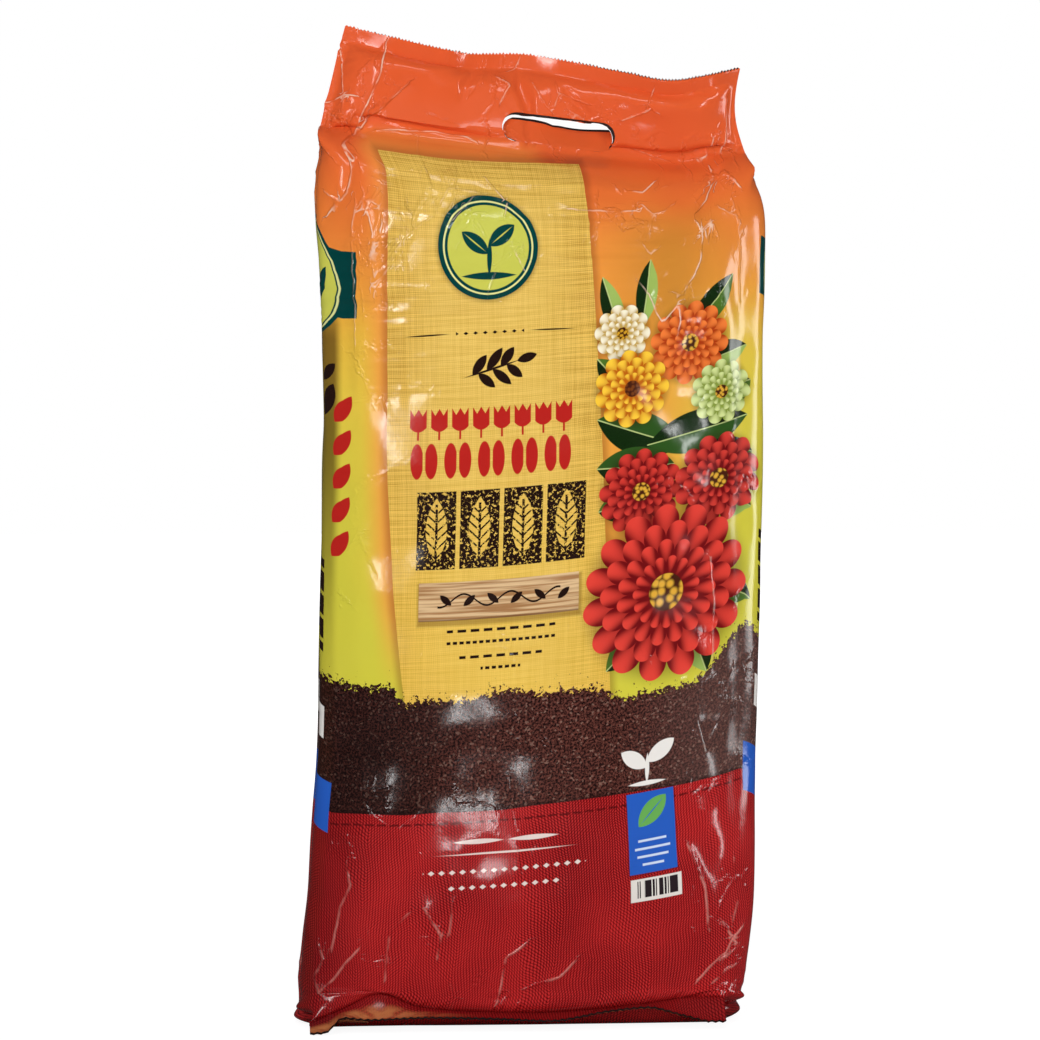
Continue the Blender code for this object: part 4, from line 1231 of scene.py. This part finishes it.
tag_lines = [box(tag_u, t, (0.0785, level), width, 0.0016)
             for level, width in ((0.1170, 0.0200), (0.1115, 0.0250), (0.1060, 0.0220), (0.1005, 0.0150))]
colour = over(colour, tint(206, 220, 240), within(any_of(tag_lines)))
bars_box = box(tag_u, t, (0.0800, 0.0830), 0.0355, 0.0158)
colour = over(colour, tint(228, 222, 214), within(bars_box))
bar_noise = u.node("ShaderNodeTexWhiteNoise", {"noise_dimensions": "1D"},
                   {"W": (tag_u / 0.00075).math("FLOOR")})
bars = box(tag_u, t, (0.0800, 0.0835), 0.0300, 0.0118)
colour = over(colour, tint(40, 30, 34), within(bars) * within(bar_noise - 0.48, 0.1))
rule_u = (u + 0.0235).math("ABSOLUTE")
white_rules = [
    leaf(at, (-0.0690, 0.1215), (0.0220, 0.1215), 0.0014),
    leaf(at, (-0.0600, 0.1300), (-0.0250, 0.1300), 0.0034),
    leaf(at, (-0.0220, 0.1300), (0.0130, 0.1300), 0.0034),
]
for level, half_width in ((0.1095, 0.0560), (0.0985, 0.0380)):
    bead_u = rule_u.math("WRAP", -0.0036, 0.0036).math("ABSOLUTE") * 0.75
    beads = bead_u + (t - level).math("ABSOLUTE") - 0.0017
    white_rules.append(beads.math("MAXIMUM", rule_u - half_width))
colour = over(colour, tint(232, 214, 206), within(any_of(white_rules)))

# The gussets' print
# The same ground, with a band beside the inward fold darkened by painted shade where u is negative, and a
# wide badge, red leaves down both creases, dark tiles, a white field and a blue one, all centred on the
# inward fold.
fold_u = to_side - (0.5 * PANEL_WIDTH + GUSSET_HALF)
off_fold = fold_u.math("ABSOLUTE")
# Painted shade: a dark band beside the inward fold, strongest a little under the badge
gusset_shade = between(off_fold, 0.034, 0.0405, 0.80, 0.0) * between(off_fold, 0.006, 0.020)
gusset_shade = gusset_shade * between(t, 0.22, 0.42, 0.15, 1.0) * between(t, 0.47, 0.51, 1.0, 0.0)
gusset_shade = gusset_shade * within(u, 0.01)
colour = over(colour, tint(74, 40, 14), gusset_shade)
badge_u = fold_u * within(u, 0.01).math("MULTIPLY_ADD", -0.75, 1.75)
fold_at = u.node("ShaderNodeCombineXYZ", {}, {"X": badge_u, "Y": (t - 0.5045) * 1.17})
colour = over(colour, DARK_GREEN, within(box(badge_u, t, (0.0, 0.5075), 0.1020, 0.0400)))
side_badge = disc(fold_at, (0.0, 0.0), 0.0)
colour = over(colour, DARK_GREEN, within(side_badge - 0.0420))
colour = over(colour, tint(222, 224, 150), within((side_badge - 0.0383).math("ABSOLUTE") - 0.0007))
colour = over(colour, FIELD_GREEN, within(side_badge - 0.0365))
side_sprout = any_of([leaf(fold_at, (-0.0100, -0.0200), (-0.0290, 0.0140), 0.0110),
                      leaf(fold_at, (0.0100, -0.0200), (0.0290, 0.0140), 0.0110),
                      leaf(fold_at, (0.0, -0.0300), (0.0, 0.0250), 0.0120)])
colour = over(colour, DARK_GREEN, within(side_sprout))
side_at = u.node("ShaderNodeCombineXYZ", {}, {"X": off_fold, "Y": t})
dark_leaves = any_of([leaf(side_at, (0.0250, 0.4180), (0.0340, 0.4420), 0.0100),
                      leaf(side_at, (0.0240, 0.4420), (0.0350, 0.4560), 0.0070)])
colour = over(colour, DARK_INK, within(dark_leaves.math("MAXIMUM", u)))
side_t = (t - 0.3800).math("WRAP", -0.0115, 0.0115)
side_leaf_at = u.node("ShaderNodeCombineXYZ", {}, {"X": off_fold, "Y": side_t})
red_leaf = leaf(side_leaf_at, (0.0350, -0.0095), (0.0460, 0.0095), 0.0100)
red_leaves = red_leaf.math("MAXIMUM", (t - 0.3815).math("ABSOLUTE") - 0.0575).math("MAXIMUM", u)
colour = over(colour, RED_INK, within(red_leaves))
tile_t = (t - 0.2875).math("WRAP", -0.0080, 0.0080).math("ABSOLUTE") - 0.0066
side_tiles = tile_t.math("MAXIMUM", off_fold - 0.0280).math("MAXIMUM", (t - 0.2875).math("ABSOLUTE") - 0.0315)
colour = over(colour, DARK_INK, within(side_tiles))
colour = over(colour, WHITE_INK, within(box(fold_u, t, (0.0, 0.2080), 0.0590, 0.0220)))
colour = over(colour, TAG_BLUE, within(box(fold_u, t, (0.0, 0.1530), 0.0760, 0.0340)))

# The film's gloss
# Blown film has a hard shine, with creases sharper than the mesh has cells for, and faint crinkles
# where it is crumpled. Along a crease the ink is painted paler: a painted highlight, with the whitening of
# stretched film.
beside = blank.node("ShaderNodeAttribute", {"attribute_name": "beside_crease"}, {}, 2)
strength = blank.node("ShaderNodeAttribute", {"attribute_name": "crease_strength"}, {}, 2)
crumple = blank.node("ShaderNodeAttribute", {"attribute_name": "crumple"}, {}, 2)
bend = clouds(at, 60.0, 60.0, 3.0, 0.6)
beside = beside + (bend - 0.5) * 2.2
crest = between(beside.math("ABSOLUTE"), 0.0, 1.3, 1.0, 0.0) * strength.math("MINIMUM", 1.6)
patches = between(clouds(at, 21.0, 21.0, 2.0), 0.50, 0.68)
bent_at = u.node("ShaderNodeCombineXYZ", {}, {"X": u + bend * 0.020, "Y": t * 0.6 + bend * 0.016})
net = bent_at.node("ShaderNodeTexVoronoi", {"voronoi_dimensions": "2D", "feature": "DISTANCE_TO_EDGE"},
                   {"Vector": bent_at, "Scale": 42.0})
crinkle = between(net, 0.0, 0.10, 1.0, 0.0) * patches * crumple.math("MAXIMUM", 0.15)
relief = crest * 0.00055 + crinkle * 0.0007 + clouds(at, 300.0, 300.0) * 0.00004
relief = relief.node("ShaderNodeBump", {}, {"Height": relief, "Strength": 1.0, "Distance": 1.0})
tree.links.new(gloss.inputs["Normal"], relief.socket)
gloss.inputs["Roughness"].default_value = 0.13
beside = beside.math("ABSOLUTE") * between(t, 0.14, 0.17, 0.5, 1.0)
# Painted highlights: pale lines along the creases, whitish higher up and pinkish low down, over the stretched
# film's whitening
crease_glint = between(beside, 0.15, 0.75, 1.0, 0.0) * between(strength, 0.45, 1.0)
crease_glint_ink = over(tint(252, 214, 190), tint(238, 158, 146), within(t - 0.16, 0.02))
crease_glint = crease_glint * between(clouds(at, 60.0, 60.0), 0.34, 0.60) * between(t, 0.30, 0.48, 0.5, 0.78)
colour = over(colour, crease_glint_ink, crease_glint)
tree.links.new(gloss.inputs["Base Color"], colour.socket)
mesh.materials.append(film_print)

# The film is blown black on its inside, which keeps the light out
film_inside = bpy.data.materials.new("black_film_inside")
film_inside.use_nodes = True
black = film_inside.node_tree.nodes["Principled BSDF"]
black.inputs["Base Color"].default_value = (0.012, 0.011, 0.011, 1.0)
black.inputs["Roughness"].default_value = 0.4
mesh.materials.append(film_inside)

# The stage
# A pale floor that stays white and keeps the bag's shadow, and a soft studio. A wide lamp in front
# gives the light and doesn't show in the film. Soft and narrow ones draw bright lines along its folds,
# a side window the pale band down its right side, and a weaker wide one lights the back.
floor_mesh = bpy.data.meshes.new("floor")
floor_mesh.from_pydata([(-6, -6, 0), (6, -6, 0), (6, 6, 0), (-6, 6, 0)], [], [(0, 1, 2, 3)])
floor = bpy.data.objects.new("floor", floor_mesh)
bpy.context.scene.collection.objects.link(floor)
floor_paint = bpy.data.materials.new("pale_floor")
floor_paint.use_nodes = True
floor_tree = floor_paint.node_tree
floor_tree.nodes.clear()
seen = Ink(floor_tree, None).node("ShaderNodeLightPath", {}, {}, 0)
mirrored = seen.node("ShaderNodeLightPath", {}, {}, 3)
matt = seen.node("ShaderNodeBsdfDiffuse", {}, {"Color": (0.75, 0.75, 0.75, 1.0)})
dim = seen.node("ShaderNodeBsdfDiffuse", {}, {"Color": (0.10, 0.09, 0.09, 1.0)})
matt = seen.node("ShaderNodeMixShader", {}, {0: mirrored, 1: matt, 2: dim})
white = seen.node("ShaderNodeEmission", {}, {"Color": (1.0, 1.0, 1.0, 1.0), "Strength": 1.28})
on_floor = seen.node("ShaderNodeTexCoord", {}, {}, 3)
far = between(on_floor.vector("LENGTH", (0.0, 0.0, 0.0), 1), 0.5, 2.4, 0.72, 1.0)
floor_shade = seen.node("ShaderNodeMixShader", {}, {0: seen * far, 1: matt, 2: white})
floor_end = floor_tree.nodes.new("ShaderNodeOutputMaterial")
floor_tree.links.new(floor_end.inputs["Surface"], floor_shade.socket)
floor_mesh.materials.append(floor_paint)

world = bpy.data.worlds.new("studio")
bpy.context.scene.world = world
world.use_nodes = True
world_tree = world.node_tree
seen = Ink(world_tree, None).node("ShaderNodeLightPath", {}, {}, 0)
room = seen.node("ShaderNodeBackground", {}, {"Color": (0.20, 0.20, 0.21, 1.0), "Strength": 1.0})
white = seen.node("ShaderNodeBackground", {}, {"Color": (1.0, 1.0, 1.0, 1.0), "Strength": 1.0})
dark = seen.node("ShaderNodeBackground", {}, {"Color": (0.05, 0.05, 0.05, 1.0), "Strength": 1.0})
mirrored = seen.node("ShaderNodeLightPath", {}, {}, 3)
sky = seen.node("ShaderNodeMixShader", {}, {0: mirrored, 1: room, 2: dark})
sky = seen.node("ShaderNodeMixShader", {}, {0: seen, 1: sky, 2: white})
world_tree.links.new(world_tree.nodes["World Output"].inputs["Surface"], sky.socket)


def area_light(name, place, aim, width, height, watts, mirrored=True):
    """A rectangular lamp at a place, turned to face its aim, that shows in glossy surfaces or not."""
    lamp = bpy.data.lights.new(name, "AREA")
    lamp.shape, lamp.size, lamp.size_y = "RECTANGLE", width, height
    lamp.energy = watts
    light = bpy.data.objects.new(name, lamp)
    light.location = place
    light.rotation_euler = (Vector(aim) - Vector(place)).to_track_quat("-Z", "Y").to_euler()
    light.visible_glossy = mirrored
    bpy.context.scene.collection.objects.link(light)


area_light("wide_front", (-0.50, -2.5, 1.5), (0.0, 0.0, 0.35), 2.2, 1.6, 37.5, False)
area_light("soft_left", (-1.45, -1.75, 0.86), (0.0, 0.0, 0.60), 0.45, 0.36, 2.6)
area_light("soft_top", (-0.3, -2.2, 2.5), (0.0, 0.0, 0.50), 1.2, 0.5, 9.0)
area_light("glint_left", (-1.5, -2.0, 0.85), (0.0, 0.0, 0.35), 0.09, 0.9, 5.0)
area_light("glint_right", (1.55, -1.6, 0.80), (0.0, 0.0, 0.35), 0.08, 0.9, 5.0)
area_light("side_window", (1.49, -0.11, 0.36), (0.0, 0.0, 0.36), 0.29, 0.60, 3.3)
area_light("low_front", (-0.10, -0.70, 0.055), (-0.03, 0.0, 0.14), 0.012, 0.09, 0.11)
area_light("low_left", (-0.16, -0.70, 0.055), (-0.13, 0.0, 0.09), 0.012, 0.09, 0.11)
area_light("low_right", (0.48, -0.27, 0.09), (0.13, 0.0, 0.12), 0.03, 0.12, 0.12)
area_light("wide_back", (0.6, 2.5, 1.5), (0.0, 0.0, 0.35), 2.0, 1.5, 14.0, False)

camera_data = bpy.data.cameras.new("camera")
camera = bpy.data.objects.new("camera", camera_data)
bpy.context.scene.collection.objects.link(camera)
bpy.context.scene.camera = camera
CAMERA_TURN, CAMERA_AWAY, CAMERA_HEIGHT = np.radians(-4.0), 3.2, 0.52
camera_data.lens = 160.5
camera_data.shift_x, camera_data.shift_y = -0.0202, 0.0048
camera.location = (np.sin(CAMERA_TURN) * CAMERA_AWAY, -np.cos(CAMERA_TURN) * CAMERA_AWAY, CAMERA_HEIGHT)
camera.rotation_euler = (Vector((0.0, 0.0, 0.345)) - camera.location).to_track_quat("-Z", "Y").to_euler()
bpy.context.scene.view_settings.view_transform = "Standard"
